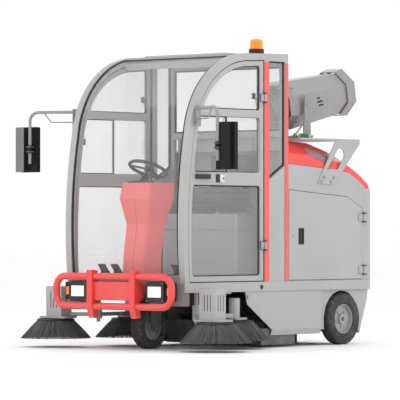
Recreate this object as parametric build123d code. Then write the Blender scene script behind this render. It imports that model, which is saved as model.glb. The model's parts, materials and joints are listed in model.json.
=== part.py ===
from build123d import *
from math import atan2, cos, degrees, radians, sin
import os

os.makedirs("parts", exist_ok=True)

# Ride-on sweeper with a glazed cab, four lifting side brushes and a mist cannon. Millimetres.
# The machine's front is -Y, its own left side is +X and up is +Z. The origin is on the floor
# under the middle of the machine's box.

# ---------------------------------------------------------------- driving dimensions
REACH = 1423            # from the origin to the foremost brush tip and to the cannon's outlet
HALF_WIDTH = 600        # outer face of the body sides
SKIN = 5                # thickness of the sheet-metal panels
SILL_LOW = 440          # the long side beams, which also carry the cab doors
SILL_TOP = 515
PAD_LOW = 428           # underside of the jacking pads
FLOOR_LOW = 509         # underside of the floor pan, top of the cross members
CROSS_MEMBERS = (-1235, -620, -60, 330, 940)
POST = 55               # width of the cab's pillars and roof rails
POST_INNER = HALF_WIDTH - POST
CAB_REAR = -7
TAIL = 1060             # rear face of the body
ROOF_TOP = 2288

WHEEL_R = 205           # rear wheels
FRONT_WHEEL_R = 165
TYRE_WIDTH = 110
RIM_R = 118
FRONT_RIM_R = 95
FRONT_WHEEL_Y = -972
REAR_WHEEL_Y = 707
REAR_WHEEL_X = 556      # middle of the rear tyres
RUN = 0.05              # radial clearance of a shaft that turns in its bore
GAP = 4                 # gap round a door

BRUSH_R = 276           # side brushes, at the tips of the bristles
BRUSH_TOP_R = 150
BRUSH_TIP_Z = 68        # the brushes are stored lifted by this much
OUTER_BRUSH = (815, -REACH + BRUSH_R)
INNER_BRUSH = (535, -589)

SLEW_Y = 700            # vertical axis of the mist cannon
TILT_Z = 1930           # horizontal axis of its barrel
CANNON_TILT = 10        # degrees above level

DOOR_REAR = -306
HINGE_X = 613           # hinge pins stand just outside the body
DOOR_PIN_Y = -304
SERVICE_PIN_Y = 962
DOOR_IN = 560           # inner and outer face of the cab doors
DOOR_OUT = 595
DOOR_HINGES = (795, 1938)
SERVICE_HINGES = (594, 1015)
PIN_R = 5
HANDLE_Y, HANDLE_Z = -985, 1320
TRIM = 3

BRUSH_GUIDE = (500, -1000)
GUIDE_R = 15
BRUSH_SHAFT_R = 12
ROLLER_Y, ROLLER_Z = 64, 166
ROLLER_R = 150
ROLLER_SHAFT_R = 16
AXLE_TOP = WHEEL_R + 40
STUB_R = 18
FORK_AXLE_R = 12
STEER_STEM_R = 30
COLUMN_TILT = 24
COLUMN_R = 14
WHEEL_HUB = (0, -986, 1385)
SLEW_PIN_R = 40
TRUNNION_R = 14
FAN_SHAFT_R = 10
BARREL_REAR = -150      # air inlet, measured along the barrel from its pivot
SHROUD_R = 195          # flat-to-flat half width of the cannon's outlet shroud


# ---------------------------------------------------------------- helpers
def block(x0, x1, y0, y1, z0, z1):
    """A box between two corners."""
    return Pos((x0 + x1) / 2, (y0 + y1) / 2, (z0 + z1) / 2) * Box(x1 - x0, y1 - y0, z1 - z0)


def soft_block(x0, x1, y0, y1, z0, z1, radius):
    """A box with its upright edges rounded."""
    body = block(x0, x1, y0, y1, z0, z1)
    return fillet(body.edges().filter_by(Axis.Z), radius)


def prism_x(face, x0, x1):
    """A flat Y-Z face drawn out between two X planes."""
    return extrude(Plane.YZ.offset(x0) * face, x1 - x0, dir=(1, 0, 0))


def outline(*points):
    """A closed polygon face."""
    return make_face(Polyline(*points, close=True))


def rod(start, end, radius):
    """A round bar between two points."""
    run = Vector(*end) - Vector(*start)
    bar = Cylinder(radius, run.length, align=(Align.CENTER, Align.CENTER, Align.MIN))
    return Plane(origin=start, z_dir=run) * bar


def bent_tube(points, bend, radius):
    """A round tube along straight runs joined by bends."""
    path = FilletPolyline(*points, radius=bend)
    section = Plane(origin=path @ 0, z_dir=path % 0) * Circle(radius)
    return sweep(section, path=path)


def mirrored(shape):
    """The same shape on the machine's right side."""
    return mirror(shape, about=Plane.YZ)


def pair(shape):
    """The shape on the left side and its mirror image on the right."""
    return [shape, mirrored(shape)]


def save(name, *shapes):
    """Writes the solids of one node to its STEP file."""
    solids = []
    for shape in shapes:
        solids += shape.solids()
    if len(solids) == 1:
        export_step(solids[0], f"parts/{name}.step")
    else:
        export_step(Compound(children=solids), f"parts/{name}.step")


# ---------------------------------------------------------------- the cab's side outline
ARCH_Y, ARCH_Z, ARCH_R = -481, 1552, 725    # the big arc from windscreen to roof
KNEE = radians(7)                           # where the pillar leaves that arc
PILLAR_FOOT_Y = -1247
PILLAR_BELLY = (-1268, 1000)
ROOF_RISE = ROOF_TOP - ARCH_Z - ARCH_R


def cab_side(inset, rear, bottom):
    """Side outline of the cab, inset from the outer one, cut off at a rear and a bottom line."""
    r = ARCH_R - inset
    knee = (ARCH_Y - r * cos(KNEE), ARCH_Z + r * sin(KNEE))
    shoulder = (ARCH_Y - r * cos(radians(45)), ARCH_Z + r * sin(radians(45)))
    crown = (ARCH_Y, ARCH_Z + r)
    foot = (PILLAR_FOOT_Y + inset, bottom)
    belly = (PILLAR_BELLY[0] + inset, PILLAR_BELLY[1])
    top_rear = (rear, ARCH_Z + r + ROOF_RISE)
    return make_face([
        ThreePointArc(foot, belly, knee),
        ThreePointArc(knee, shoulder, crown),
        Line(crown, top_rear),
        Line(top_rear, (rear, bottom)),
        Line((rear, bottom), foot),
    ])


# ---------------------------------------------------------------- chassis
def chassis_frame():
    """Side beams with jacking pads, cross members, steering head, brush guides, roller cheeks."""
    solids = pair(block(540, HALF_WIDTH, PILLAR_FOOT_Y, TAIL - 10, SILL_LOW, SILL_TOP))
    solids += pair(block(545, 595, -800, -700, PAD_LOW, SILL_LOW))
    solids += [block(-540, 540, y, y + 50, SILL_LOW, FLOOR_LOW) for y in CROSS_MEMBERS]
    head = Pos(0, FRONT_WHEEL_Y, 471) * Cylinder(55, 62)
    head += block(-35, 35, -1185, -620, SILL_LOW + 10, SILL_TOP - 12)
    head -= Pos(0, FRONT_WHEEL_Y, 460) * Cylinder(STEER_STEM_R + RUN, 200)
    solids.append(head)
    x, y = BRUSH_GUIDE
    guide = Pos(x, y, 325) * Cylinder(GUIDE_R, 250)
    guide += block(x - 30, 540, y - 30, y + 30, SILL_LOW, SILL_LOW + 14)
    solids += pair(guide)
    cheek = block(520, 530, -130, 260, 100, SILL_LOW)
    cheek -= rod((510, ROLLER_Y, ROLLER_Z), (560, ROLLER_Y, ROLLER_Z), ROLLER_SHAFT_R + RUN)
    solids += pair(cheek)
    y0, y1 = REAR_WHEEL_Y - 30, REAR_WHEEL_Y + 30
    solids.append(block(-540, 540, y0, y1, SILL_LOW + 20, SILL_TOP - 20))
    solids += pair(block(300, 360, y0, y1, AXLE_TOP, SILL_LOW + 20))
    return solids


def floor_pan():
    """Floor under the cab and the batteries, with a hole over the steering head."""
    pan = block(-540, 540, -1190, 515, FLOOR_LOW, SILL_TOP)
    return pan - Pos(0, FRONT_WHEEL_Y, SILL_TOP) * Cylinder(60, 40)


def nose_panel():
    """Front apron under the windscreen, open in the middle for the wheel."""
    half = POST_INNER - 1
    apron = block(-half, half, PILLAR_FOOT_Y - 8, PILLAR_FOOT_Y - 1, 340, 574)
    apron += block(-590, 590, PILLAR_FOOT_Y - 8, PILLAR_FOOT_Y - 1, 340, SILL_TOP - 3)
    apron -= block(-250, 250, PILLAR_FOOT_Y - 20, PILLAR_FOOT_Y, 300, SILL_LOW)
    cheek = block(582, 590, PILLAR_FOOT_Y - 1, PILLAR_FOOT_Y + 60, 340, SILL_LOW - 1)
    return apron + cheek + mirrored(cheek)


def rear_axle():
    """Beam axle with its gear housing and motor, and a stub shaft for each wheel."""
    axle = rod((-490, REAR_WHEEL_Y, WHEEL_R), (490, REAR_WHEEL_Y, WHEEL_R), 38)
    axle += rod((-590, REAR_WHEEL_Y, WHEEL_R), (590, REAR_WHEEL_Y, WHEEL_R), STUB_R)
    axle += rod((-70, REAR_WHEEL_Y, WHEEL_R), (90, REAR_WHEEL_Y, WHEEL_R), 95)
    axle += rod((10, REAR_WHEEL_Y, WHEEL_R + 5), (10, REAR_WHEEL_Y - 260, WHEEL_R + 5), 65)
    for x in (-330, 330):
        axle += block(x - 29, x + 29, REAR_WHEEL_Y - 29, REAR_WHEEL_Y + 29, WHEEL_R, AXLE_TOP)
    return axle


# ---------------------------------------------------------------- wheels
def tyre(x, y, radius, rim_r):
    """Tyre with rounded shoulders and tread grooves, round an X axis."""
    half = TYRE_WIDTH / 2
    section = make_face(Polyline(
        (rim_r, -half * 0.72), (rim_r + 18, -half), (radius - 22, -half), (radius, -half * 0.7),
        (radius, half * 0.7), (radius - 22, half), (rim_r + 18, half), (rim_r, half * 0.72),
        close=True,
    ))
    ring = revolve(Plane.XZ * section, Axis.Z)
    for z in (-20, 0, 20):
        groove = Cylinder(radius + 5, 5) - Cylinder(radius - 5, 5)
        ring -= Pos(0, 0, z) * groove
    return Pos(x, y, radius) * (Rot(0, 90, 0) * ring)


def rim(x, y, radius, rim_r, bore, side):
    """Dished rim with a hub and five wheel nuts; side is +1 when the dish faces +X."""
    drum = Cylinder(rim_r - 0.5, TYRE_WIDTH * 0.7) - Cylinder(rim_r - 8, TYRE_WIDTH)
    disc = Pos(0, 0, 8) * Cylinder(rim_r - 4, 8)
    hub = Pos(0, 0, 4) * Cylinder(40, TYRE_WIDTH / 2)
    body = drum + disc + hub
    for k in range(5):
        body += Rot(0, 0, 72 * k) * (Pos(62, 0, 11) * extrude(RegularPolygon(11, 6), 10))
    body -= Cylinder(bore, TYRE_WIDTH * 2)
    turned = Rot(0, 90 * side, 0) * body
    return Pos(x, y, radius) * turned


# ---------------------------------------------------------------- steering
def front_fork():
    """Steering stem, crown and two blades with the wheel's axle."""
    stem = Pos(0, FRONT_WHEEL_Y, 465) * Cylinder(STEER_STEM_R, 70)
    crown = soft_block(-85, 85, FRONT_WHEEL_Y - 60, FRONT_WHEEL_Y + 60, 415, 430, 20)
    fork = stem + crown
    for side in (-1, 1):
        x0, x1 = sorted((side * 68, side * 78))
        low = FRONT_WHEEL_R - 35
        blade = outline((FRONT_WHEEL_Y - 60, 416), (FRONT_WHEEL_Y + 60, 416), (FRONT_WHEEL_Y + 52, 230),
                        (FRONT_WHEEL_Y + 34, low), (FRONT_WHEEL_Y - 34, low), (FRONT_WHEEL_Y - 52, 230))
        fork += prism_x(blade, x0, x1)
    fork += rod((-84, FRONT_WHEEL_Y, FRONT_WHEEL_R), (84, FRONT_WHEEL_Y, FRONT_WHEEL_R), FORK_AXLE_R)
    return fork


def steering_wheel():
    """Rim, three spokes, hub, shaft and spinner knob."""
    wheel = Torus(145, 13)
    wheel += Cylinder(28, 30)
    for angle in (90, 210, 330):
        spoke = Pos(82, 0, -2) * Box(130, 22, 10)
        wheel += Rot(0, 0, angle) * spoke
    wheel += Pos(0, 0, -65) * Cylinder(COLUMN_R, 110)
    knob_at = Rot(0, 0, 120) * Pos(145, 0, 0)
    wheel += knob_at * (Pos(0, 0, 24) * Cylinder(9, 30))
    wheel += knob_at * (Pos(0, 0, 46) * Sphere(18))
    return Pos(*WHEEL_HUB) * (Rot(-COLUMN_TILT, 0, 0) * wheel)


# the cowl's sections: height, front, rear, half width
COWL = [
    (SILL_TOP, -1165, -955, 118),
    (700, -1158, -945, 112),
    (960, -1112, -905, 118),
    (1155, -1150, -852, 158),
    (1278, -1122, -832, 150),
]


def steering_cowl():
    """Tapered console round the column, wide at the top, with a crease down its front."""
    sections = []
    for z, front, rear, half in COWL:
        face = Rectangle(2 * half, rear - front)
        face = fillet(face.vertices(), 22)
        sections.append(Pos(0, (front + rear) / 2, z) * face)
    cowl = loft(sections, ruled=True)
    for (z0, y0, _, _), (z1, y1, _, _) in zip(COWL[:-1], COWL[1:]):
        crease = outline((y0 - 1, z0), (y0 + 5, z0), (y1 + 5, z1), (y1 - 1, z1))
        if z1 < 1200:
            cowl -= prism_x(crease, -2, 2)
    column_hole = Rot(-COLUMN_TILT, 0, 0) * (Pos(0, 0, -65) * Cylinder(COLUMN_R + RUN, 112))
    cowl -= Pos(*WHEEL_HUB) * column_hole
    inside = block(-85, 85, -1090, -990, SILL_TOP + 10, 1130)
    return cowl - inside


# ---------------------------------------------------------------- pedals
PEDALS = {"brake_pedal": -354, "drive_pedal": -222, "flap_pedal": 390}
PEDAL_Y, PEDAL_PIN_Z = -1120, 548


def pedal(x):
    """Foot plate on an arm, with the pin it turns on."""
    arm = block(x - 8, x + 8, PEDAL_Y - 6, PEDAL_Y + 6, PEDAL_PIN_Z, 635)
    plate = Pos(x, PEDAL_Y + 22, 612) * (Rot(-50, 0, 0) * Box(70, 95, 8))
    body = arm + plate + rod((x - 14, PEDAL_Y, PEDAL_PIN_Z), (x + 14, PEDAL_Y, PEDAL_PIN_Z), 9)
    return body - rod((x - 40, PEDAL_Y, PEDAL_PIN_Z), (x + 40, PEDAL_Y, PEDAL_PIN_Z), 5 + RUN)


def pedal_stands():
    """Ears and pins on the floor that carry the pedals."""
    stands = []
    for x in PEDALS.values():
        ears = block(x - 24, x - 16, PEDAL_Y - 16, PEDAL_Y + 16, SILL_TOP, PEDAL_PIN_Z + 14)
        ears += block(x + 16, x + 24, PEDAL_Y - 16, PEDAL_Y + 16, SILL_TOP, PEDAL_PIN_Z + 14)
        ears += rod((x - 24, PEDAL_Y, PEDAL_PIN_Z), (x + 24, PEDAL_Y, PEDAL_PIN_Z), 5)
        stands.append(ears)
    return stands


# ---------------------------------------------------------------- cab
QUARTER_FRONT, QUARTER_REAR = -246, -47
HEADER_Y = -640         # the windscreen ends and the roof starts here
NICHE_REAR = 112        # the wall behind the seat
NICHE_TOP = 1540


def cab_frame():
    """Bent side frames with B and C posts, joined by headers and cross rails."""
    side = prism_x(cab_side(0, CAB_REAR, SILL_TOP), POST_INNER, HALF_WIDTH)
    side -= prism_x(cab_side(POST, -302, SILL_TOP - 1), POST_INNER - 1, HALF_WIDTH + 1)
    side -= block(500, 700, QUARTER_FRONT, QUARTER_REAR, SILL_TOP - 1, 2225)
    half = POST_INNER
    rails = [
        block(-half, half, HEADER_Y, HEADER_Y + 60, 2178, 2225),
        block(-half, half, QUARTER_REAR, CAB_REAR, 2190, 2240),
        block(-half, half, QUARTER_REAR, CAB_REAR, 1640, 1690),
        block(-half, half, PILLAR_FOOT_Y + 5, PILLAR_FOOT_Y + 50, SILL_TOP, 574),
    ]
    return pair(side) + rails


def roof_panel():
    """Roof skin between the side rails, slightly crowned, with a raised middle field."""
    y0, y1 = HEADER_Y, CAB_REAR
    skin = block(-POST_INNER, POST_INNER, y0, y1, 2241, 2268)
    field = soft_block(-440, 440, y0 + 70, y1 - 60, 2260, 2284, 60)
    field = chamfer(field.edges().group_by(Axis.Z)[-1], 12)
    return skin + field


def windscreen():
    """Curved front glass between the pillars."""
    sheet = prism_x(cab_side(10, HEADER_Y, 576) - cab_side(15, HEADER_Y + 1, 575),
                    -POST_INNER + 1, POST_INNER - 1)
    keep = block(-600, 600, -1400, HEADER_Y - 1, 577, 2400)
    return sheet & keep


def quarter_line(y):
    """Height of the slanted joint between a quarter window and the panel under it."""
    return 1310 + (y - QUARTER_FRONT) * 0.56


def fixed_windows():
    """Rear window and the two quarter windows."""
    rear = block(-POST_INNER, POST_INNER, -30, -25, 1690, 2190)
    pane = outline((QUARTER_FRONT, quarter_line(QUARTER_FRONT)),
                   (QUARTER_REAR, quarter_line(QUARTER_REAR)),
                   (QUARTER_REAR, 2225), (QUARTER_FRONT, 2225))
    return [rear] + pair(prism_x(pane, 580, 585))


def cab_rear_panels():
    """Panels under the quarter windows, and the recessed wall behind the seat."""
    lower = outline((QUARTER_FRONT, SILL_TOP), (QUARTER_REAR, SILL_TOP),
                    (QUARTER_REAR, quarter_line(QUARTER_REAR) - 8),
                    (QUARTER_FRONT, quarter_line(QUARTER_FRONT) - 8))
    panels = pair(prism_x(lower, 585, 597))
    half = POST_INNER - 10
    y0 = CAB_REAR + 1
    ledge = NICHE_TOP - SKIN
    wall = [
        block(-half, half, NICHE_REAR, NICHE_REAR + SKIN, SILL_TOP, NICHE_TOP),
        block(-half, half, y0, NICHE_REAR, ledge, NICHE_TOP),
        block(-half, half, y0, y0 + SKIN, NICHE_TOP, 1640),
    ]
    return panels + wall + pair(block(half - SKIN, half, y0, NICHE_REAR, SILL_TOP, ledge))


def trim_strips():
    """Coloured strips on the B and C posts."""
    strips = []
    for y0, y1 in ((-302, QUARTER_FRONT), (QUARTER_REAR, CAB_REAR)):
        strips += pair(block(HALF_WIDTH, HALF_WIDTH + TRIM, y0, y1, SILL_TOP, 2215))
    return strips


# ---------------------------------------------------------------- cab doors
RAILS = [(520, 563), (1256, 1354), (1782, 1839)]    # bottom, middle and upper rail
FRAME_EDGE = 42
PANE_X = 574
PANE_T = 5
SLIDE_SPLIT = -735
WINDOW_CORNER = 26


def door_opening(low, high):
    """The glazed field of a door between two heights, with rounded corners."""
    inner = cab_side(POST + GAP + FRAME_EDGE, DOOR_REAR - FRAME_EDGE, 400)
    band = Pos((DOOR_REAR - 1400) / 2, (low + high) / 2) * Rectangle(1400 + DOOR_REAR, high - low)
    field = (inner & band).face()
    corners = [v for v in field.vertices()
               if abs(v.Y - low) < 1 or abs(v.Y - high) < 1 or abs(v.X - DOOR_REAR + FRAME_EDGE) < 1]
    return fillet(corners, WINDOW_CORNER)


def door_fields():
    """Lower, middle and upper glazed field as height ranges."""
    return [(563, 1256), (1354, 1782), (1839, 2300)]


def door_frame():
    """Welded door frame with two rails, hinge knuckles and handle boss."""
    frame = prism_x(cab_side(POST + GAP, DOOR_REAR, 520), DOOR_IN, DOOR_OUT)
    for low, high in door_fields():
        frame -= prism_x(door_opening(low, high), DOOR_IN - 1, DOOR_OUT + 1)
    for z in DOOR_HINGES:
        leaf = block(DOOR_OUT, DOOR_OUT + 11, -345, DOOR_REAR, z - 28, z + 28)
        knuckle = Pos(HINGE_X, DOOR_PIN_Y, z) * Cylinder(9, 56)
        frame += leaf + knuckle
        frame -= Pos(HINGE_X, DOOR_PIN_Y, z) * Cylinder(PIN_R + RUN, 70)
    frame -= rod((DOOR_OUT - 20, HANDLE_Y, HANDLE_Z), (DOOR_OUT + 5, HANDLE_Y, HANDLE_Z), 8 + RUN)
    return frame


def door_glass():
    """Fixed panes: lower, upper and the front half of the middle field."""
    panes = []
    for low, high in door_fields():
        face = door_opening(low, high)
        if low == 1354:
            face &= Pos(SLIDE_SPLIT - 500, 1500) * Rectangle(1000, 1200)
        panes.append(prism_x(face, PANE_X, PANE_X + PANE_T))
    return panes


def sliding_pane():
    """Rear half of the middle field, which slides forward behind the fixed half."""
    low, high = door_fields()[1]
    rear = DOOR_REAR - FRAME_EDGE - 1
    pane = block(566, 571, SLIDE_SPLIT - 25, rear, low + 0.5, high - 0.5)
    pane = fillet(pane.edges().filter_by(Axis.X), WINDOW_CORNER)
    grip = block(562, 566, rear - 60, rear - 40, 1530, 1610)
    return pane + grip


def door_handle():
    """Black lever with its spindle."""
    lever = soft_block(DOOR_OUT + 8, DOOR_OUT + 22, HANDLE_Y - 145, HANDLE_Y + 22, 1302, 1338, 6)
    boss = rod((DOOR_OUT + 0.5, HANDLE_Y, HANDLE_Z), (DOOR_OUT + 10, HANDLE_Y, HANDLE_Z), 15)
    spindle = rod((DOOR_OUT - 18, HANDLE_Y, HANDLE_Z), (DOOR_OUT + 10, HANDLE_Y, HANDLE_Z), 8)
    return lever + boss + spindle


def hinge_pins():
    """Fixed halves of all the door hinges: a pin between two lugs."""
    pins = []
    spots = [(DOOR_PIN_Y, z, 28, HALF_WIDTH + TRIM, 16) for z in DOOR_HINGES]
    spots += [(SERVICE_PIN_Y, z, 28, HALF_WIDTH, 24) for z in SERVICE_HINGES]
    for y, z, half, face, reach in spots:
        hinge = Pos(HINGE_X, y, z) * Cylinder(PIN_R, 2 * half + 2)
        for low in (z - half - 13, z + half + 1):
            hinge += block(face, HINGE_X + 8, y - 8, y + reach, low, low + 12)
        pins += pair(hinge)
    return pins


# ---------------------------------------------------------------- seat
def seat_base():
    """Box under the seat with rounded corners, and its lid."""
    box = soft_block(-380, 380, -385, NICHE_REAR - 60, SILL_TOP, 912, 25)
    lid = soft_block(-384, 384, -390, NICHE_REAR - 60, 916, 1040, 25)
    rails = block(-160, -130, -330, 30, 1040, 1056) + block(130, 160, -330, 30, 1040, 1056)
    return [box, lid + rails]


def seat_cushion():
    """Seat shell with its sliders and the cushion."""
    pad = soft_block(-230, 230, -350, 20, 1096, 1236, 45)
    feet = block(-170, -120, -330, 0, 1056.5, 1096) + block(120, 170, -330, 0, 1056.5, 1096)
    return pad + feet


def seat_back():
    """Low backrest, leaning slightly."""
    back = soft_block(-210, 210, -45, 45, 0, 270, 40)
    return Pos(0, 28, 1240) * (Rot(-6, 0, 0) * back)


# ---------------------------------------------------------------- body behind the cab
SIDE_TOP = [(CAB_REAR, 1433), (407, 1406), (697, 1382), (779, 1370), (872, 1327), (968, 1271),
            (1001, 1243), (TAIL, 1243)]
SERVICE_OPENING = [(8, 519), (955, 519), (955, 1091), (760, 1182), (8, 1232)]
TAIL_TOP = 1243


def rear_side_panels():
    """Side skins with the service opening and the wheel arch, the tail panel and its slant."""
    points = [(CAB_REAR, SILL_TOP)] + SIDE_TOP + [(TAIL, SILL_TOP)]
    skin = prism_x(outline(*points), HALF_WIDTH - 18, HALF_WIDTH - 6)
    skin -= prism_x(outline(*SERVICE_OPENING), 500, 700)
    skin -= block(500, 700, TAIL - 6, TAIL + 1, SILL_LOW, 1500)
    arch = outline((430, 130), (430, SILL_LOW), (TAIL, SILL_LOW), (TAIL - 18, 350), (945, 85),
                   (850, 85))
    arch -= Pos(REAR_WHEEL_Y, WHEEL_R) * Circle(WHEEL_R + 20)
    arch -= Pos(REAR_WHEEL_Y, 60) * Rectangle(2 * WHEEL_R + 40, 260)
    lower = prism_x(arch, 560, 572)
    tail = block(-HALF_WIDTH + 6, HALF_WIDTH - 6, TAIL - 6, TAIL, SILL_LOW + 2, TAIL_TOP)
    shelf = block(-582, 582, 985, TAIL - 6, TAIL_TOP - 6, TAIL_TOP)
    slant = outline((TAIL, SILL_LOW + 1), (TAIL - 18, 350), (950, 90), (944, 90), (TAIL - 24, 352),
                    (TAIL - 6, SILL_LOW + 1))
    apron = prism_x(slant, -559, 559)
    return [tail, shelf, apron] + pair(skin) + pair(lower)


def service_door():
    """Side door with a recessed grip, a lock and two hinge knuckles."""
    face = offset(outline(*SERVICE_OPENING), -GAP, kind=Kind.INTERSECTION)
    leaf = prism_x(face, HALF_WIDTH - 14, HALF_WIDTH - 4)
    leaf -= block(HALF_WIDTH - 12, HALF_WIDTH, 128, 200, 800, 930)
    leaf += block(HALF_WIDTH - 24, HALF_WIDTH - 14, 120, 208, 792, 938)
    leaf += rod((HALF_WIDTH - 10, 66, 867), (HALF_WIDTH + 1, 66, 867), 12)
    for z in SERVICE_HINGES:
        leaf += block(HALF_WIDTH - 4, HALF_WIDTH + 6, SERVICE_PIN_Y - 60, SERVICE_PIN_Y, z - 28, z + 28)
        leaf += Pos(HINGE_X, SERVICE_PIN_Y, z) * Cylinder(9, 56)
        leaf -= Pos(HINGE_X, SERVICE_PIN_Y, z) * Cylinder(PIN_R + RUN, 70)
    return leaf


# the hood's crest height over each corner of the side panels' top edge
HOOD_CREST = [1623, 1604, 1532, 1503, 1465, 1418, 1400, 1330]


def hood_section(y, crest, side, inset):
    """One cross section of the hood: side edge, fold and crest on each side."""
    fold = side + (crest - side) * 0.45
    half = [(592 - inset, side), (578 - inset, fold - inset * 0.3), (455 - inset, crest - inset)]
    points = half + [(-x, z) for x, z in reversed(half)]
    return Plane(origin=(0, y, 0), x_dir=(1, 0, 0), z_dir=(0, -1, 0)) * outline(*points)


def hood():
    """Moulded cover over the rear body, falling away to the tail."""
    stations = [[y, crest, side + 2] for (y, side), crest in zip(SIDE_TOP, HOOD_CREST)]
    stations[0][0] += 9
    stations[-1][0] -= 10
    outer = loft([hood_section(y, crest, side, 0) for y, crest, side in stations], ruled=True)
    stations[0][0] -= 1
    stations[-1][0] -= 8
    inner = loft([hood_section(y, crest, side, 6) for y, crest, side in stations], ruled=True)
    return outer - inner - Pos(0, 0, -1) * inner


def side_skirts():
    """Skirts in front of the rear wheels, folded in at the bottom, with a knob each."""
    field = outline((-527, SILL_LOW - 1), (-503, 341), (-198, 138), (426, 138), (426, SILL_LOW - 1))
    skirt = prism_x(field, 588, 594)
    lip = outline((594, 138), (588, 138), (574, 96), (580, 96))
    skirt += extrude(Plane.XZ.offset(200) * lip, 620, dir=(0, 1, 0))
    skirt += rod((594, -500, 405), (612, -500, 405), 14)
    return skirt


def rubber_flaps():
    """Rubber lips along the roller's sides."""
    flap = block(564, 570, -307, 114, 22, 150)
    front = block(-500, 500, -180, -174, 20, 200)
    rear = block(-490, 490, 238, 244, 20, 200)
    return pair(flap) + [front, rear]


# ---------------------------------------------------------------- inside the body
def batteries():
    """Eight traction batteries in two rows, with their posts."""
    packs = []
    for row in range(2):
        for col in range(4):
            x0 = -380 + col * 192
            y0 = 140 + row * 185
            pack = block(x0, x0 + 184, y0, y0 + 178, SILL_TOP, SILL_TOP + 285)
            pack += Pos(x0 + 40, y0 + 89, SILL_TOP + 292) * Cylinder(9, 16)
            pack += Pos(x0 + 144, y0 + 89, SILL_TOP + 292) * Cylinder(9, 16)
            packs.append(pack)
    return packs


def dust_hopper():
    """Sheet-metal bin with a throat in its floor, behind the roller."""
    low, high = FLOOR_LOW, 1150
    floor = block(-500, 500, 640, 1040, low, low + 6)
    lid = block(-500, 500, 540, 1040, high - 6, high)
    front = block(-494, 494, 540, 546, low, high - 6)
    rear = block(-494, 494, 1034, 1040, low + 6, high - 6)
    side = block(494, 500, 540, 1040, low + 6, high - 6)
    return [floor, lid, front, rear] + pair(side)


def main_roller():
    """Roller brush across the machine: shaft, core and eight brush strips."""
    core = rod((-500, ROLLER_Y, ROLLER_Z), (500, ROLLER_Y, ROLLER_Z), 95)
    for k in range(8):
        strip = block(-500, 500, -12, 12, 90, ROLLER_R)
        core += Pos(0, ROLLER_Y, ROLLER_Z) * (Rot(45 * k, 0, 0) * strip)
    shaft = rod((-545, ROLLER_Y, ROLLER_Z), (545, ROLLER_Y, ROLLER_Z), ROLLER_SHAFT_R)
    return core + shaft


# ---------------------------------------------------------------- bumper and lamps
BUMPER_Y = -1388
BUMPER_Z = 447
TUBE_R = 27
LAMP_Y = BUMPER_Y + 27          # front of the lamp boxes
INDICATOR_Y = LAMP_Y + 20       # the indicators sit further back


def bumper_loop():
    """Round tube bent to a closed racetrack."""
    half_w, half_h = 584, 114
    loop = RectangleRounded(2 * half_w, 2 * half_h, 88)
    path = (Plane(origin=(0, BUMPER_Y, BUMPER_Z), x_dir=(1, 0, 0), z_dir=(0, -1, 0)) * loop).wire()
    section = Plane(origin=path @ 0, z_dir=path % 0) * Circle(TUBE_R)
    return sweep(section, path=path)


def bumper_uprights():
    """Two folded plates that hold the loop, the box panel between them and the stays."""
    front, back, deep = BUMPER_Y - 34, BUMPER_Y + 34, BUMPER_Y + 76
    bumper = block(-188, 188, BUMPER_Y - 12, deep, 380, 520)
    for side in (-1, 1):
        x0, x1 = sorted((side * 188, side * 243))
        plate = outline((front, 330), (front, 600), (front + 10, 612), (back, 604), (back, 520), (deep, 508),
                        (deep, 392), (back, 376), (back, 300), (back + 8, 250), (front + 28, 244))
        bumper += prism_x(plate, x0, x1)
        bumper += block(min(side * 195, side * 235), max(side * 195, side * 235),
                        deep - 10, PILLAR_FOOT_Y - 8, 445, 500)
    for z in (BUMPER_Z - 114, BUMPER_Z + 114):
        bumper -= rod((-400, BUMPER_Y, z), (400, BUMPER_Y, z), TUBE_R + 0.3)
    return bumper


def headlight_housings():
    """Lamp boxes inside the loop, on brackets from the apron."""
    box = block(303, 482, LAMP_Y, LAMP_Y + 91, 368, 526)
    box += block(482, 535, INDICATOR_Y, LAMP_Y + 91, 380, 514)
    box -= block(325, 456, LAMP_Y - 1, LAMP_Y + 12, 406, 488)
    box -= block(499, 529, INDICATOR_Y - 1, INDICATOR_Y + 12, 418, 480)
    box += block(380, 440, LAMP_Y + 91, PILLAR_FOOT_Y - 8, 420, 480)
    return pair(box)


def headlight_lenses():
    """Clear headlamp lenses."""
    return pair(block(325.5, 455.5, LAMP_Y - 4, LAMP_Y + 12, 406.5, 487.5))


def turn_signals():
    """Amber indicator lenses beside the headlamps."""
    return pair(block(499.5, 528.5, INDICATOR_Y - 3, INDICATOR_Y + 12, 418.5, 479.5))


# ---------------------------------------------------------------- side brushes
def side_brush(spot):
    """Conical brush: bristle skirt, back plate and the stub shaft in the motor."""
    low = BRUSH_TIP_Z
    skirt = Pos(spot[0], spot[1], low + 70) * Cone(BRUSH_R, BRUSH_TOP_R, 140)
    hollow = Pos(spot[0], spot[1], low + 49) * Cone(BRUSH_R - 30, BRUSH_TOP_R - 20, 100)
    skirt -= hollow
    skirt += Pos(spot[0], spot[1], low + 146) * Cylinder(BRUSH_TOP_R - 4, 12)
    skirt += Pos(spot[0], spot[1], low + 175) * Cylinder(BRUSH_SHAFT_R, 60)
    return skirt


CARRIER_Z = BRUSH_TIP_Z + 158


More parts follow.
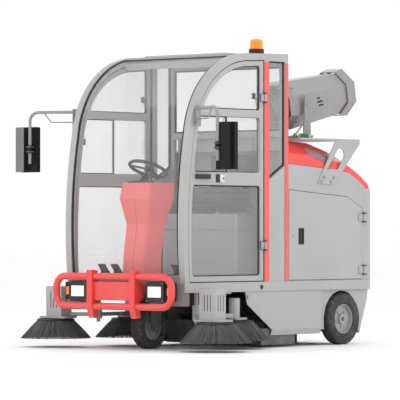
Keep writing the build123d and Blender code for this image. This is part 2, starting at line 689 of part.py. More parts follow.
def brush_carrier():
    """Left carrier: a sleeve on the guide post, arms, and a slotted motor box over each brush."""
    outer_x, outer_y = OUTER_BRUSH
    inner_x, inner_y = INNER_BRUSH
    gx, gy = BRUSH_GUIDE
    low = CARRIER_Z
    body = Pos(gx, gy, low + 60) * Cylinder(30, 120)
    body += soft_block(outer_x - 160, outer_x + 110, outer_y - 80, outer_y + 80, low, low + 16, 20)
    x0, x1, y0, y1 = outer_x - 112, outer_x + 48, outer_y - 60, outer_y + 60
    body += block(x0, x1, y0, y1, low + 16, low + 250)
    body -= block(x0 + 4, x1 - 4, y0 + 4, y1 - 4, low + 16, low + 246)
    body += Pos(outer_x, outer_y, low + 100) * Cylinder(42, 170)
    body += soft_block(inner_x - 80, inner_x + 80, inner_y - 70, inner_y + 70, low, low + 16, 20)
    body += Pos(inner_x, inner_y, low + 90) * Cylinder(42, 150)
    for x, y in (OUTER_BRUSH, INNER_BRUSH):
        run = Vector(x - gx, y - gy)
        angle = degrees(atan2(run.Y, run.X))
        arm = Pos(run.length / 2, 0, 0) * Box(run.length, 46, 30)
        body += Pos(gx, gy, low + 32) * (Rot(0, 0, angle) * arm)
    for k in (-1, 0, 1):
        slot_x = outer_x - 32 + k * 30
        body -= block(slot_x - 4, slot_x + 4, y0 - 1, y0 + 5, low + 80, low + 200)
        slot_y = outer_y + k * 30
        body -= block(x1 - 5, x1 + 1, slot_y - 4, slot_y + 4, low + 80, low + 200)
    body -= Pos(gx, gy, low + 60) * Cylinder(GUIDE_R + RUN, 400)
    for x, y in (OUTER_BRUSH, INNER_BRUSH):
        body -= Pos(x, y, low) * Cylinder(BRUSH_SHAFT_R + RUN, 110)
    return body


# ---------------------------------------------------------------- mist cannon
PLATFORM_Z = 1640


def cannon_bracket():
    """Platform over the hood on two raked side plates, each with a window and four bolts."""
    face = HALF_WIDTH - 6
    bridge = block(-face, face, 162, 914, PLATFORM_Z - 12, PLATFORM_Z)
    bridge -= block(-330, 330, 220, 520, PLATFORM_Z - 20, PLATFORM_Z + 5)
    bridge -= Pos(0, SLEW_Y, PLATFORM_Z) * Cylinder(SLEW_PIN_R + RUN, 40)
    plate = outline((368, 1284), (552, 1274), (585, 1282), (914, 1606), (914, PLATFORM_Z),
                    (611, PLATFORM_Z))
    window = outline((488, 1397), (628, 1397), (712, 1500), (604, 1530))
    window += Pos(658, 1515) * Circle(52)
    leg = prism_x(plate - window, face, face + 8)
    bolts = [(449, 1332), (576, 1333), (417, 1300), (536, 1296)]
    for y, z in bolts:
        leg += rod((face + 7, y, z), (face + 13, y, z), 9)
    return bridge + leg + mirrored(leg)


def cannon_yoke():
    """Slewing ring, fork arms and a brace rod to each arm."""
    yoke = Pos(0, SLEW_Y, PLATFORM_Z + 10.3) * Cylinder(150, 20)
    yoke += Pos(0, SLEW_Y, PLATFORM_Z - 10) * Cylinder(SLEW_PIN_R, 30)
    yoke += block(-236, 236, SLEW_Y - 45, SLEW_Y + 45, PLATFORM_Z + 20, PLATFORM_Z + 34)
    for side in (-1, 1):
        x0, x1 = sorted((side * 224, side * 236))
        arm = outline((SLEW_Y - 45, PLATFORM_Z + 22), (SLEW_Y + 45, PLATFORM_Z + 22),
                      (SLEW_Y + 38, TILT_Z + 60), (SLEW_Y - 30, TILT_Z + 60))
        yoke += prism_x(arm, x0, x1)
        yoke -= rod((x0 - 2, SLEW_Y, TILT_Z), (x1 + 2, SLEW_Y, TILT_Z), TRUNNION_R + RUN)
    for side in (-1, 1):
        x0, x1 = sorted((side * 190, side * 236))
        foot_z = PLATFORM_Z + 20
        yoke += block(x0, x1, SLEW_Y - 150, SLEW_Y - 44, foot_z, foot_z + 14)
        yoke += block(x0 + 14, x1 - 14, SLEW_Y - 146, SLEW_Y - 118, foot_z + 13, foot_z + 30)
        yoke += rod((side * 213, SLEW_Y - 132, foot_z + 18), (side * 222, SLEW_Y - 28, 1775), 7)
    return yoke


def on_barrel(shape):
    """Places a shape made along +Z at the pivot onto the tilted barrel axis."""
    return Pos(0, SLEW_Y, TILT_Z) * (Rot(-(90 - CANNON_TILT), 0, 0) * shape)


def octagon_tube(z0, z1, r0, r1, wall):
    """Eight-sided tapered tube along Z, given by its flat-to-flat half widths."""
    def section(z, r):
        return Pos(0, 0, z) * (Rot(0, 0, 22.5) * RegularPolygon(r, 8, major_radius=False))
    outer = loft([section(z0, r0), section(z1, r1)])
    inner = loft([section(z0 - 1, r0 - wall), section(z1 + 1, r1 - wall)])
    return outer - inner


def cannon_barrel():
    """Octagonal barrel with its trunnions, fan motor, guard rings and outlet shroud."""
    barrel = octagon_tube(BARREL_REAR, -70, 178, 196, 6) + octagon_tube(-70, 640, 196, 165, 6)
    for side in (-1, 1):
        x0, x1 = sorted((side * 192, side * 240))
        barrel += rod((x0, 0, 0), (x1, 0, 0), TRUNNION_R)
    motor = Pos(0, 0, -20) * Cylinder(60, 130)
    for k in range(4):
        motor += Rot(0, 0, 45 + 90 * k) * (Pos(128, 0, -60) * Box(150, 8, 40))
    motor -= Pos(0, 0, 30) * Cylinder(FAN_SHAFT_R + RUN, 60)
    barrel += motor
    mouth = (REACH - SLEW_Y - SHROUD_R * sin(radians(CANNON_TILT))) / cos(radians(CANNON_TILT))
    shroud_z = mouth - 90
    shroud = octagon_tube(shroud_z, mouth, 182, SHROUD_R, 7)
    for k in range(4):
        shroud += Rot(0, 0, 90 * k) * (Pos(172, 0, shroud_z + 20) * Box(22, 10, 30))
    return on_barrel(barrel + shroud)


def cannon_fan():
    """Axial fan on the motor's shaft."""
    fan = Cylinder(42, 50) + Pos(0, 0, -45) * Cylinder(FAN_SHAFT_R, 60)
    for k in range(7):
        blade = Pos(100, 0, 0) * (Rot(35, 0, 0) * Box(130, 60, 4))
        fan += Rot(0, 0, k * 360 / 7) * blade
    return on_barrel(Pos(0, 0, 90) * fan)


# ---------------------------------------------------------------- mirrors and beacon
MIRROR_ROD = (955, -1294)
MIRROR_TOP = 1833
ARM_R = 12


def mirror_arm():
    """Bent tube from a plate that stands off the A pillar, with a bent brace under it."""
    x, y = MIRROR_ROD
    arm = bent_tube([(630, -1130, MIRROR_TOP), (x, y, MIRROR_TOP), (x, y, 1432)], 70, ARM_R)
    arm += block(628, 636, -1152, -1106, 1696, 1856)
    arm += block(HALF_WIDTH, 629, -1142, -1118, 1815, 1845) + block(HALF_WIDTH, 629, -1142, -1118, 1720, 1740)
    arm += bent_tube([(632, -1130, 1754), (799, -1215, 1754), (855, -1243, MIRROR_TOP - 3)], 8, 5)
    return arm


def mirror_head():
    """Mirror housing with the clamp that turns on the arm."""
    x, y = MIRROR_ROD
    shell = block(912, 1092, -1262, -1222, 1366, 1720)
    shell = fillet(shell.edges().filter_by(Axis.Y), 7)
    shell -= block(920, 1084, -1226, -1221, 1374, 1712)
    clamp = Pos(x, y, 1545) * Cylinder(19, 60) + block(x - 12, x + 12, y, -1262, 1520, 1570)
    clamp -= Pos(x, y, 1545) * Cylinder(ARM_R + RUN, 200)
    glass = block(921, 1083, -1225.5, -1222.5, 1375, 1711)
    return [shell + clamp, glass]


BEACON = (370, -117)
BEACON_FOOT = 40


def beacon_base():
    """Bracket plate and black foot of the beacon."""
    x, y = BEACON
    foot = Pos(x, y, ROOF_TOP + BEACON_FOOT / 2) * Cylinder(60, BEACON_FOOT)
    plate = block(x - 80, x + 62, y - 50, y + 45, 2284, ROOF_TOP + 1)
    return foot + plate


def beacon_lens():
    """Amber dome."""
    x, y = BEACON
    lens = Pos(x, y, ROOF_TOP + BEACON_FOOT + 42) * Cylinder(52, 84)
    return fillet(lens.edges().group_by(Axis.Z)[-1], 18)


# ---------------------------------------------------------------- all nodes
save("chassis_frame", *chassis_frame(), floor_pan(), *pedal_stands())
save("nose_panel", nose_panel())
save("rear_axle", rear_axle())
save("cab_frame", *cab_frame())
save("roof_panel", roof_panel())
save("cab_glass", windscreen(), *fixed_windows())
save("trim_strips", *trim_strips())
save("hinge_pins", *hinge_pins())
save("steering_cowl", steering_cowl())
save("steering_wheel", steering_wheel())
for pedal_name, pedal_x in PEDALS.items():
    save(pedal_name, pedal(pedal_x))

save("front_fork", front_fork())
save("front_tyre", tyre(0, FRONT_WHEEL_Y, FRONT_WHEEL_R, FRONT_RIM_R))
save("front_rim", rim(0, FRONT_WHEEL_Y, FRONT_WHEEL_R, FRONT_RIM_R, FORK_AXLE_R + RUN, 1))
for side_name, side_sign in (("left", 1), ("right", -1)):
    wheel_x = side_sign * REAR_WHEEL_X
    save(f"rear_tyre_{side_name}", tyre(wheel_x, REAR_WHEEL_Y, WHEEL_R, RIM_R))
    save(f"rear_rim_{side_name}", rim(wheel_x, REAR_WHEEL_Y, WHEEL_R, RIM_R, STUB_R + RUN, side_sign))

MIRRORED_NODES = {
    "door_frame": [door_frame()],
    "door_glass": door_glass(),
    "sliding_pane": [sliding_pane()],
    "door_handle": [door_handle()],
    "service_door": [service_door()],
    "brush_carrier": [brush_carrier()],
    "outer_brush": [side_brush(OUTER_BRUSH)],
    "inner_brush": [side_brush(INNER_BRUSH)],
    "mirror_arm": [mirror_arm()],
    "mirror_head": mirror_head(),
}
for part_name, left_shapes in MIRRORED_NODES.items():
    save(f"{part_name}_left", *left_shapes)
    save(f"{part_name}_right", *[mirrored(shape) for shape in left_shapes])

save("seat_base", *seat_base())
save("seat_cushion", seat_cushion())
save("seat_back", seat_back())
save("body_panels", *cab_rear_panels(), *rear_side_panels())
save("hood", hood())
save("side_skirts", *pair(side_skirts()))
save("rubber_flaps", *rubber_flaps())
save("batteries", *batteries())
save("dust_hopper", *dust_hopper())
save("main_roller", main_roller())
save("bumper_loop", bumper_loop())
save("bumper_uprights", bumper_uprights())
save("headlight_housings", *headlight_housings())
save("lamp_lenses", *headlight_lenses(), *turn_signals())
save("cannon_bracket", cannon_bracket())
save("cannon_yoke", cannon_yoke())
save("cannon_barrel", cannon_barrel())
save("cannon_fan", cannon_fan())
save("beacon_base", beacon_base())
save("beacon_lens", beacon_lens())
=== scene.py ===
import json
import math
import random

import bmesh
import bpy
from mathutils import Matrix, Vector
from mathutils.bvhtree import BVHTree


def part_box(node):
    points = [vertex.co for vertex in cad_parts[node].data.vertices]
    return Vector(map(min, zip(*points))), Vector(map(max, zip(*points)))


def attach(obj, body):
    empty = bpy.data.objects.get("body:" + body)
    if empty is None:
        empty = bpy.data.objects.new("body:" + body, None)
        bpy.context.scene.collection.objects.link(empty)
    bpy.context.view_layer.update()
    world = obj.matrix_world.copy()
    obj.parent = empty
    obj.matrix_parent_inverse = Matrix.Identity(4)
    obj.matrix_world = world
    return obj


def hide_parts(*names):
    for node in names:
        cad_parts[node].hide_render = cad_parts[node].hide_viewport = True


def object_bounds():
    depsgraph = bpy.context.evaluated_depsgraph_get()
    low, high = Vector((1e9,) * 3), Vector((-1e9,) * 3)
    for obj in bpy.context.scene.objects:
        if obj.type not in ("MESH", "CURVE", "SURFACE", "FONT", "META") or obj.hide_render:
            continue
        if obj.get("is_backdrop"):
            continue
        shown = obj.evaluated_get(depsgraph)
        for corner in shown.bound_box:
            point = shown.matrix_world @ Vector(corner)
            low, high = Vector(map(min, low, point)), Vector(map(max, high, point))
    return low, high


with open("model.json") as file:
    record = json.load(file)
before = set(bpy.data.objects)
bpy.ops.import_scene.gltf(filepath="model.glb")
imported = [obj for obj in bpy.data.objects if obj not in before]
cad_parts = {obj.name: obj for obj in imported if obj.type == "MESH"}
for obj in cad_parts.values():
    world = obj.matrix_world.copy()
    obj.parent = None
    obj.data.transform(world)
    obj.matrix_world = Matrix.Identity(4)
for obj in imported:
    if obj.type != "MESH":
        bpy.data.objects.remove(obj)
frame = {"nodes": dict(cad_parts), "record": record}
scene = bpy.context.scene
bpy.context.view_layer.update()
UP = (0, 0, 1)
FORWARDS = (0, -1, 0)
UNTURNED = Matrix()
SIDES = (("left", 1), ("right", -1))


# -------- materials
M = {}


class Surface:
    """One procedural material, kept in M. Patterns are in metres, in the object's own frame."""

    def __init__(self, name, colour, roughness, **constants):
        self.material = M[name] = bpy.data.materials.new(name)
        self.material.use_nodes = True
        self.tree = self.material.node_tree
        self.shader = self.tree.nodes["Principled BSDF"]
        self.place = self.add("ShaderNodeTexCoord").outputs["Object"]
        self.set("Base Color", colour)
        self.set("Roughness", roughness)
        for socket, value in constants.items():
            self.set(socket.replace("_", " "), value)

    def add(self, kind, **settings):
        node = self.tree.nodes.new(kind)
        for key, value in settings.items():
            setattr(node, key, value)
        return node

    def put(self, node, socket, value):
        """A number, a colour or another node's output goes into a socket."""
        target = node.inputs[socket]
        if isinstance(value, bpy.types.NodeSocket):
            self.tree.links.new(value, target)
        elif target.type == "RGBA":
            target.default_value = (*value, 1)
        else:
            target.default_value = value

    def set(self, socket, value):
        self.put(self.shader, socket, value)

    def noise(self, scale, detail=3.0, stretch=(1, 1, 1)):
        mapping = self.add("ShaderNodeMapping")
        self.put(mapping, "Vector", self.place)
        self.put(mapping, "Scale", stretch)
        node = self.add("ShaderNodeTexNoise")
        for socket, value in (("Vector", mapping.outputs["Vector"]), ("Scale", scale), ("Detail", detail)):
            self.put(node, socket, value)
        return node.outputs["Fac"]

    def cells(self, scale):
        node = self.add("ShaderNodeTexVoronoi", feature="DISTANCE_TO_EDGE")
        self.put(node, "Vector", self.place)
        self.put(node, "Scale", scale)
        return node.outputs["Distance"]

    def remap(self, value, low, high, to_low, to_high):
        node = self.add("ShaderNodeMapRange")
        for socket, number in zip(("Value", "From Min", "From Max", "To Min", "To Max"),
                                  (value, low, high, to_low, to_high)):
            self.put(node, socket, number)
        return node.outputs["Result"]

    def times(self, a, b, operation="MULTIPLY"):
        node = self.add("ShaderNodeMath", operation=operation)
        self.put(node, 0, a)
        self.put(node, 1, b)
        return node.outputs[0]

    def mix(self, share, a, b):
        """The mix node's colour sockets are inputs 6 and 7 and output 2."""
        node = self.add("ShaderNodeMix", data_type="RGBA")
        for socket, value in ((0, share), (6, a), (7, b)):
            self.put(node, socket, value)
        return node.outputs[2]

    def bump(self, height, strength, distance, normal=None):
        node = self.add("ShaderNodeBump")
        self.put(node, "Height", height)
        self.put(node, "Strength", strength)
        self.put(node, "Distance", distance)
        if normal is not None:
            self.put(node, "Normal", normal)
        return node.outputs["Normal"]

    def rounded(self, radius):
        node = self.add("ShaderNodeBevel", samples=4)
        self.put(node, "Radius", radius)
        return node.outputs["Normal"]

    def edges(self, rounded_normal):
        """1 on an edge and 0 on a flat, from how far the rounded normal turns."""
        geometry = self.add("ShaderNodeNewGeometry")
        dot = self.add("ShaderNodeVectorMath", operation="DOT_PRODUCT")
        self.put(dot, 0, rounded_normal)
        self.put(dot, 1, geometry.outputs["Normal"])
        return self.remap(dot.outputs["Value"], 0.97, 0.75, 0.0, 1.0)

    def height(self, low, high):
        """1 at the low level and 0 at the high one."""
        split = self.add("ShaderNodeSeparateXYZ")
        self.put(split, 0, self.place)
        return self.remap(split.outputs["Z"], low, high, 1.0, 0.0)


def shade(colour, factor):
    return tuple(min(1.0, c * factor) for c in colour)


DUST = (0.30, 0.27, 0.235)


def painted(name, colour, roughness=0.42, peel=0.08, dust=0.3, worn=0.35, bevel=0.0025, **constants):
    """Powder coat: orange peel, cloudy tone, dust low down, and edges that catch wear."""
    s = Surface(name, colour, roughness, **constants)
    tone = s.mix(s.remap(s.noise(1.7), 0.3, 0.7, 0.0, 1.0), shade(colour, 0.955), shade(colour, 1.035))
    specks = s.remap(s.noise(240, 2.0), 0.62, 0.75, 0.0, 0.10)
    tone = s.mix(specks, tone, shade(colour, 0.72))
    dusty = s.times(s.height(0.02, 0.75), s.remap(s.noise(7.0, 6.0), 0.35, 0.75, 0.0, dust))
    tone = s.mix(dusty, tone, DUST)
    round_normal = s.rounded(bevel)
    chips = s.times(s.edges(round_normal), s.remap(s.noise(60, 5.0), 0.48, 0.62, 0.0, worn))
    tone = s.mix(chips, tone, shade(colour, 1.25))
    s.set("Base Color", tone)
    s.set("Roughness", s.remap(s.noise(11, 5.0), 0.3, 0.7, roughness - 0.06, roughness + 0.09))
    s.set("Normal", s.bump(s.noise(520, 2.0), peel, 0.0006, round_normal))


def moulded(name, colour, roughness=0.5, grain=0.25, grain_scale=700, dust=0.12, **constants):
    """Moulded plastic: fine pitted grain, scuffs and a little dust in the low parts."""
    s = Surface(name, colour, roughness, **constants)
    scuffs = s.remap(s.noise(34, 8.0, (1, 1, 3)), 0.60, 0.72, 0.0, 0.22)
    tone = s.mix(s.remap(s.noise(4), 0.3, 0.7, 0.0, 1.0), shade(colour, 0.93), shade(colour, 1.06))
    tone = s.mix(scuffs, tone, tuple(0.75 * c + 0.05 for c in colour))
    tone = s.mix(s.times(s.height(0.05, 0.9), s.remap(s.noise(9, 5.0), 0.4, 0.7, 0.0, dust)), tone, DUST)
    s.set("Base Color", tone)
    s.set("Roughness", s.remap(s.noise(23, 4.0), 0.3, 0.7, roughness - 0.07, roughness + 0.07))
    s.set("Normal", s.bump(s.cells(grain_scale), grain, 0.0004, s.rounded(0.002)))


def bristle_material(name, colour):
    """Nylon filaments, each a little lighter or darker than the next."""
    s = Surface(name, colour, 0.48, Specular_IOR_Level=0.55)
    geometry = s.add("ShaderNodeNewGeometry")
    each = geometry.outputs["Random Per Island"]
    tone = s.mix(each, shade(colour, 0.6), shade(colour, 1.75))
    tone = s.mix(s.remap(s.noise(90, 4.0), 0.45, 0.8, 0.0, 0.35), tone, shade(DUST, 0.55))
    s.set("Base Color", tone)
    s.set("Roughness", s.remap(s.noise(160), 0.3, 0.7, 0.38, 0.6))
    s.set("Normal", s.bump(s.noise(900, 2.0, (1, 1, 0.1)), 0.3, 0.0004))


def rubber_material(name, colour, dust=0.3, scale=420):
    """Vulcanised rubber with dust in its pores and a chalky bloom."""
    s = Surface(name, colour, 0.78, Specular_IOR_Level=0.35)
    tone = s.mix(s.remap(s.noise(6, 6.0), 0.35, 0.7, 0.0, 1.0), shade(colour, 0.8), shade(colour, 1.5))
    tone = s.mix(s.remap(s.noise(24, 8.0), 0.5, 0.75, 0.0, dust), tone, shade(DUST, 0.7))
    s.set("Base Color", tone)
    s.set("Roughness", s.remap(s.noise(40), 0.3, 0.7, 0.68, 0.9))
    s.set("Normal", s.bump(s.noise(scale, 6.0), 0.35, 0.0009))


def metal_material(name, colour, roughness, scale=160, depth=0.25, bevel=0.0015):
    """Bare metal with a cast texture and dull patches."""
    s = Surface(name, colour, roughness, Metallic=1.0)
    grain = s.noise(scale, 6.0)
    tone = s.mix(s.remap(s.noise(14, 6.0), 0.35, 0.7, 0.0, 1.0), shade(colour, 0.78), shade(colour, 1.1))
    s.set("Base Color", tone)
    s.set("Roughness", s.remap(grain, 0.3, 0.7, roughness - 0.08, roughness + 0.15))
    s.set("Normal", s.bump(grain, depth, 0.0005, s.rounded(bevel)))


def vinyl_material(name, colour):
    """Grained upholstery vinyl with polished high spots and creases."""
    s = Surface(name, colour, 0.5, Sheen_Weight=0.15, Sheen_Roughness=0.4)
    grain = s.cells(330)
    tone = s.mix(s.remap(grain, 0.0, 0.12, 0.0, 1.0), shade(colour, 0.55), colour)
    tone = s.mix(s.remap(s.noise(8, 4.0), 0.35, 0.7, 0.0, 0.5), tone, shade(colour, 1.5))
    s.set("Base Color", tone)
    s.set("Roughness", s.remap(s.noise(13, 3.0), 0.3, 0.7, 0.40, 0.62))
    creases = s.bump(s.noise(26, 5.0, (1, 0.35, 1)), 0.22, 0.004)
    s.set("Normal", s.bump(grain, 0.5, 0.0006, creases))


def glass_material(name, colour, alpha, haze=0.06):
    """Clear safety glass with smudges, and dust that gathers low down."""
    s = Surface(name, colour, 0.04, Specular_IOR_Level=0.6)
    smudge = s.remap(s.noise(5, 6.0, (1, 1, 0.6)), 0.4, 0.75, 0.0, haze)
    low_dust = s.times(s.height(0.55, 0.95), s.remap(s.noise(18, 5.0), 0.35, 0.7, 0.0, 0.04))
    total = s.times(s.times(smudge, low_dust, "ADD"), alpha, "ADD")
    facing = s.add("ShaderNodeLayerWeight")
    facing.inputs["Blend"].default_value = 0.25
    s.set("Alpha", s.times(total, s.remap(facing.outputs["Fresnel"], 0.0, 1.0, 0.0, 0.22), "ADD"))
    s.set("Roughness", s.remap(s.noise(9, 5.0), 0.3, 0.7, 0.02, 0.12))


def lens_material(name, colour, glow):
    """Moulded lens, lit a little from inside, with fine flow marks."""
    s = Surface(name, colour, 0.12, Coat_Weight=0.6, Coat_Roughness=0.05, Emission_Strength=glow)
    s.set("Emission Color", colour)
    tone = s.mix(s.remap(s.noise(45, 3.0), 0.3, 0.7, 0.0, 1.0), shade(colour, 0.85), colour)
    s.set("Base Color", tone)
    s.set("Normal", s.bump(s.noise(110, 2.0), 0.12, 0.001))


painted("grey_paint", (0.40, 0.40, 0.397), Coat_Weight=0.08)
painted("taupe_paint", (0.25, 0.225, 0.21))
painted("red_paint", (0.80, 0.050, 0.044), roughness=0.3, Coat_Weight=0.35)
painted("red_plastic", (0.83, 0.062, 0.052), roughness=0.36, peel=0.05, worn=0.15, bevel=0.006,
        Coat_Weight=0.25)
painted("red_trim", (0.86, 0.11, 0.095), roughness=0.34, peel=0.04, worn=0.2, bevel=0.0012)
painted("arm_paint", (0.28, 0.28, 0.28), roughness=0.38, dust=0.2)
moulded("black_plastic", (0.013, 0.013, 0.014))
moulded("grip_plastic", (0.035, 0.035, 0.038), roughness=0.58, grain=0.4, grain_scale=420)
moulded("battery_case", (0.03, 0.03, 0.035), roughness=0.6)
bristle_material("bristle", (0.085, 0.085, 0.087))
rubber_material("tyre_rubber", (0.040, 0.040, 0.042))
rubber_material("rubber", (0.10, 0.10, 0.10), dust=0.2)
painted("rim_paint", (0.33, 0.33, 0.335), roughness=0.36, worn=0.5, bevel=0.0018)
painted("dark_steel", (0.085, 0.085, 0.09), roughness=0.45, worn=0.5, dust=0.35)
metal_material("zinc_steel", (0.40, 0.40, 0.395), 0.42, scale=60, depth=0.12)
metal_material("fan_aluminium", (0.62, 0.62, 0.62), 0.4, scale=300)
vinyl_material("seat_vinyl", (0.055, 0.055, 0.058))
glass_material("clear_glass", (0.60, 0.61, 0.61), 0.072, haze=0.02)
lens_material("lamp_lens", (0.95, 0.97, 1.0), 0.55)
lens_material("amber_lens", (1.0, 0.24, 0.01), 0.55)
SLOTS = {look: look for look in M}
metal_material("bolt_steel", (0.45, 0.45, 0.46), 0.35, scale=220)
metal_material("chrome_reflector", (0.85, 0.85, 0.86), 0.10, scale=90, depth=0.05)
metal_material("brass_nozzle", (0.80, 0.56, 0.24), 0.3, scale=220)
metal_material("mirror_glass", (0.86, 0.88, 0.89), 0.09, scale=8, depth=0.01, bevel=0.0005)
rubber_material("seal_rubber", (0.020, 0.020, 0.021), dust=0.12, scale=700)
rubber_material("mat_rubber", (0.055, 0.055, 0.057), dust=0.45)
moulded("vent_grey", (0.20, 0.215, 0.24), roughness=0.45)
moulded("label_white", (0.72, 0.72, 0.71), roughness=0.4, grain=0.1)
moulded("screen_dark", (0.012, 0.015, 0.018), roughness=0.2, grain=0.02, Coat_Weight=0.5)
# a darker copy of grey_paint for the cannon's barrel and yoke: painted shade
painted("cannon_painted_shade_grey", (0.30, 0.30, 0.298), Coat_Weight=0.08)
# a lighter, pinker copy of red_plastic for the steering cowl: painted light against the shade inside the cab
painted("cowl_painted_light_red", (0.90, 0.15, 0.14), roughness=0.36, peel=0.05, worn=0.15, bevel=0.006, Coat_Weight=0.25)
moulded("mirror_shell", (0.011, 0.011, 0.012), dust=0.04, Specular_IOR_Level=0.14)
# grey for the lit part of the black mirror housing: a painted highlight
moulded("mirror_painted_highlight", (0.17, 0.17, 0.17), roughness=0.5)
moulded("valve_green", (0.02, 0.13, 0.08), roughness=0.4)
SLOTS |= {"bolt_steel": "zinc_steel", "chrome_reflector": "lamp_lens", "seal_rubber": "rubber",
          "mat_rubber": "rubber", "vent_grey": "black_plastic", "screen_dark": "black_plastic",
          "mirror_shell": "black_plastic", "mirror_painted_highlight": "black_plastic", "label_white": "grey_paint"}

for subpart in frame["record"]["subparts"]:
    shown = frame["nodes"][subpart["node"]]
    shown.data.materials.clear()
    shown.data.materials.append(M[subpart["material_slot"]])
# the barrel and the yoke get the darker copy of grey_paint, which is painted shade
for node in ("cannon_barrel", "cannon_yoke"):
    frame["nodes"][node].data.materials[0] = M["cannon_painted_shade_grey"]
# the steering cowl gets the lighter copy of red_plastic, which is painted light
frame["nodes"]["steering_cowl"].data.materials[0] = M["cowl_painted_light_red"]
frame["nodes"]["hinge_pins"].data.materials[0] = M["dark_steel"]
for side, _ in SIDES:
    frame["nodes"]["mirror_head_" + side].data.materials[0] = M["mirror_shell"]


# -------- mesh helpers
def mesh_of(name, bm):
    """The bmesh's content as a mesh; the bmesh ends here."""
    mesh = bpy.data.meshes.new(name)
    bm.to_mesh(mesh)
    bm.free()
    return mesh


def piece(name, bm, look, body, slot=None, smooth=35.0, turn=UNTURNED):
    """Makes a bmesh a piece that rides on a body. The slot argument is not used."""
    bmesh.ops.transform(bm, matrix=turn, verts=bm.verts)
    bmesh.ops.recalc_face_normals(bm, faces=bm.faces)
    return place(name, mesh_of(name, bm), look, body, slot, smooth)


def place(name, mesh, look, body, slot=None, smooth=35.0, matrix=UNTURNED):
    obj = bpy.data.objects.new(name, mesh)
    scene.collection.objects.link(obj)
    obj.matrix_world = matrix
    if not mesh.materials:
        mesh.materials.append(M[look])
    mesh.polygons.foreach_set("use_smooth", [True] * len(mesh.polygons))
    mesh.set_sharp_from_angle(angle=math.radians(smooth))
    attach(obj, body)
    slot = slot or SLOTS.get(look)
    return obj


def frame_of(axis):
    """A rotation that takes +Z to the axis."""
    return Vector(axis).to_track_quat("Z", "Y").to_matrix().to_4x4()


def polar(radius, angle, z=0.0):
    """A point at a radius and an angle about the Z axis."""
    return Vector((radius * math.cos(angle), radius * math.sin(angle), z))


def spread(count, offset=0.0):
    """Angles that share a full turn evenly, the first one shifted by a part of a step."""
    return [math.tau * (k + offset) / count for k in range(count)]


def steps(first, last, count):
    """Even steps with both ends included."""
    return [first + (last - first) * k / (count - 1) for k in range(count)]


def box_into(bm, low, high, bevel=0.0, segments=2, turn=UNTURNED):
    """A box between two corners, its edges rounded, optionally turned by a matrix."""
    low, high = Vector(low), Vector(high)
    made = bmesh.ops.create_cube(bm, size=1.0, matrix=Matrix.Diagonal((*(high - low), 1)))["verts"]
    if bevel:
        edges = list({e for v in made for e in v.link_edges})
        result = bmesh.ops.bevel(bm, geom=edges, offset=bevel, segments=segments, affect="EDGES", profile=0.5)
        made = list({v for f in result["faces"] for v in f.verts} | {v for v in made if v.is_valid})
    bmesh.ops.transform(bm, matrix=turn @ Matrix.Translation((low + high) / 2), verts=made)


def side_box_into(bm, sign, low, high, **edges):
    """A box on the left side, or its mirror image where the sign is -1."""
    x0, x1 = sorted((sign * low[0], sign * high[0]))
    box_into(bm, (x0, *low[1:]), (x1, *high[1:]), **edges)


def bridge(bm, low, high):
    """Quads between two rings that have as many corners."""
    for i in range(len(low)):
        j = (i + 1) % len(low)
        bm.faces.new((low[i], low[j], high[j], high[i]))


def ring_into(bm, centre, side, up, radius, angles):
    """Corners round a centre, in the plane of two directions."""
    return [bm.verts.new(centre + (side * math.cos(a) + up * math.sin(a)) * radius) for a in angles]


def skin_into(bm, rings, closed=False):
    """Quads from ring to ring, then back to the first one or a cap at each end."""
    for low, high in zip(rings, rings[1:] + (rings[:1] if closed else [])):
        bridge(bm, low, high)
    if not closed:
        bm.faces.new(rings[0][::-1])
        bm.faces.new(rings[-1])


def lathe_into(bm, profile, origin=(0, 0, 0), axis=UP, segments=48, matrix=None):
    """Turns a profile of (radius, height) points about an axis through the origin point."""
    if matrix is None:
        matrix = Matrix.Translation(origin) @ frame_of(axis)
    rings = []
    for radius, height in profile:
        angles = spread(segments) if radius else (0.0,)
        rings.append([bm.verts.new(matrix @ polar(radius, a, height)) for a in angles])
    for low, high in zip(rings[:-1], rings[1:]):
        for k in range(segments):
            a, b = low[k % len(low)], low[(k + 1) % len(low)]
            c, d = high[(k + 1) % len(high)], high[k % len(high)]
            corners = list(dict.fromkeys((a, b, c, d)))
            if len(corners) > 2:
                bm.faces.new(corners)


def tube_into(bm, points, radius, segments=10, closed=False):
    """A round tube along points, capped where it is open."""
    points = [Vector(p) for p in points]
    count = len(points)
    rings, side = [], None
    for k, p in enumerate(points):
        before = points[k - 1] if (k or closed) else p
        after = points[(k + 1) % count] if (k < count - 1 or closed) else p
        along = (after - before).normalized()
        if side is None:
            side = along.orthogonal().normalized()
        side = (side - along * side.dot(along)).normalized()
        rings.append(ring_into(bm, p, side, along.cross(side), radius, spread(segments)))
    skin_into(bm, rings, closed)


def hoop_into(bm, radius, z, wire, count, segments):
    """A ring of round wire about the Z axis."""
    tube_into(bm, [polar(radius, a, z) for a in spread(count)], wire, segments, closed=True)


def bolt_into(bm, at, normal, radius, washer=1.7):
    """A hexagon head on its washer, seated on a face."""
    matrix = Matrix.Translation(at) @ frame_of(normal)
    low = radius * 0.25
    lathe_into(bm, [(0, -radius * 0.2), (radius * washer, -radius * 0.2), (radius * washer, low * 0.8),
                    (radius * washer * 0.95, low), (0, low)], matrix=matrix, segments=24)
    lathe_into(bm, [(radius, low * 0.9), (radius, radius * 0.85), (radius * 0.86, radius), (0, radius)],
               matrix=matrix, segments=6)


def side_bolts_into(bm, sign, x, spots, radius, washer=1.7):
    """Bolts on a side wall, at (y, z) spots."""
    for y, z in spots:
        bolt_into(bm, (sign * x, y, z), (sign, 0, 0), radius, washer)


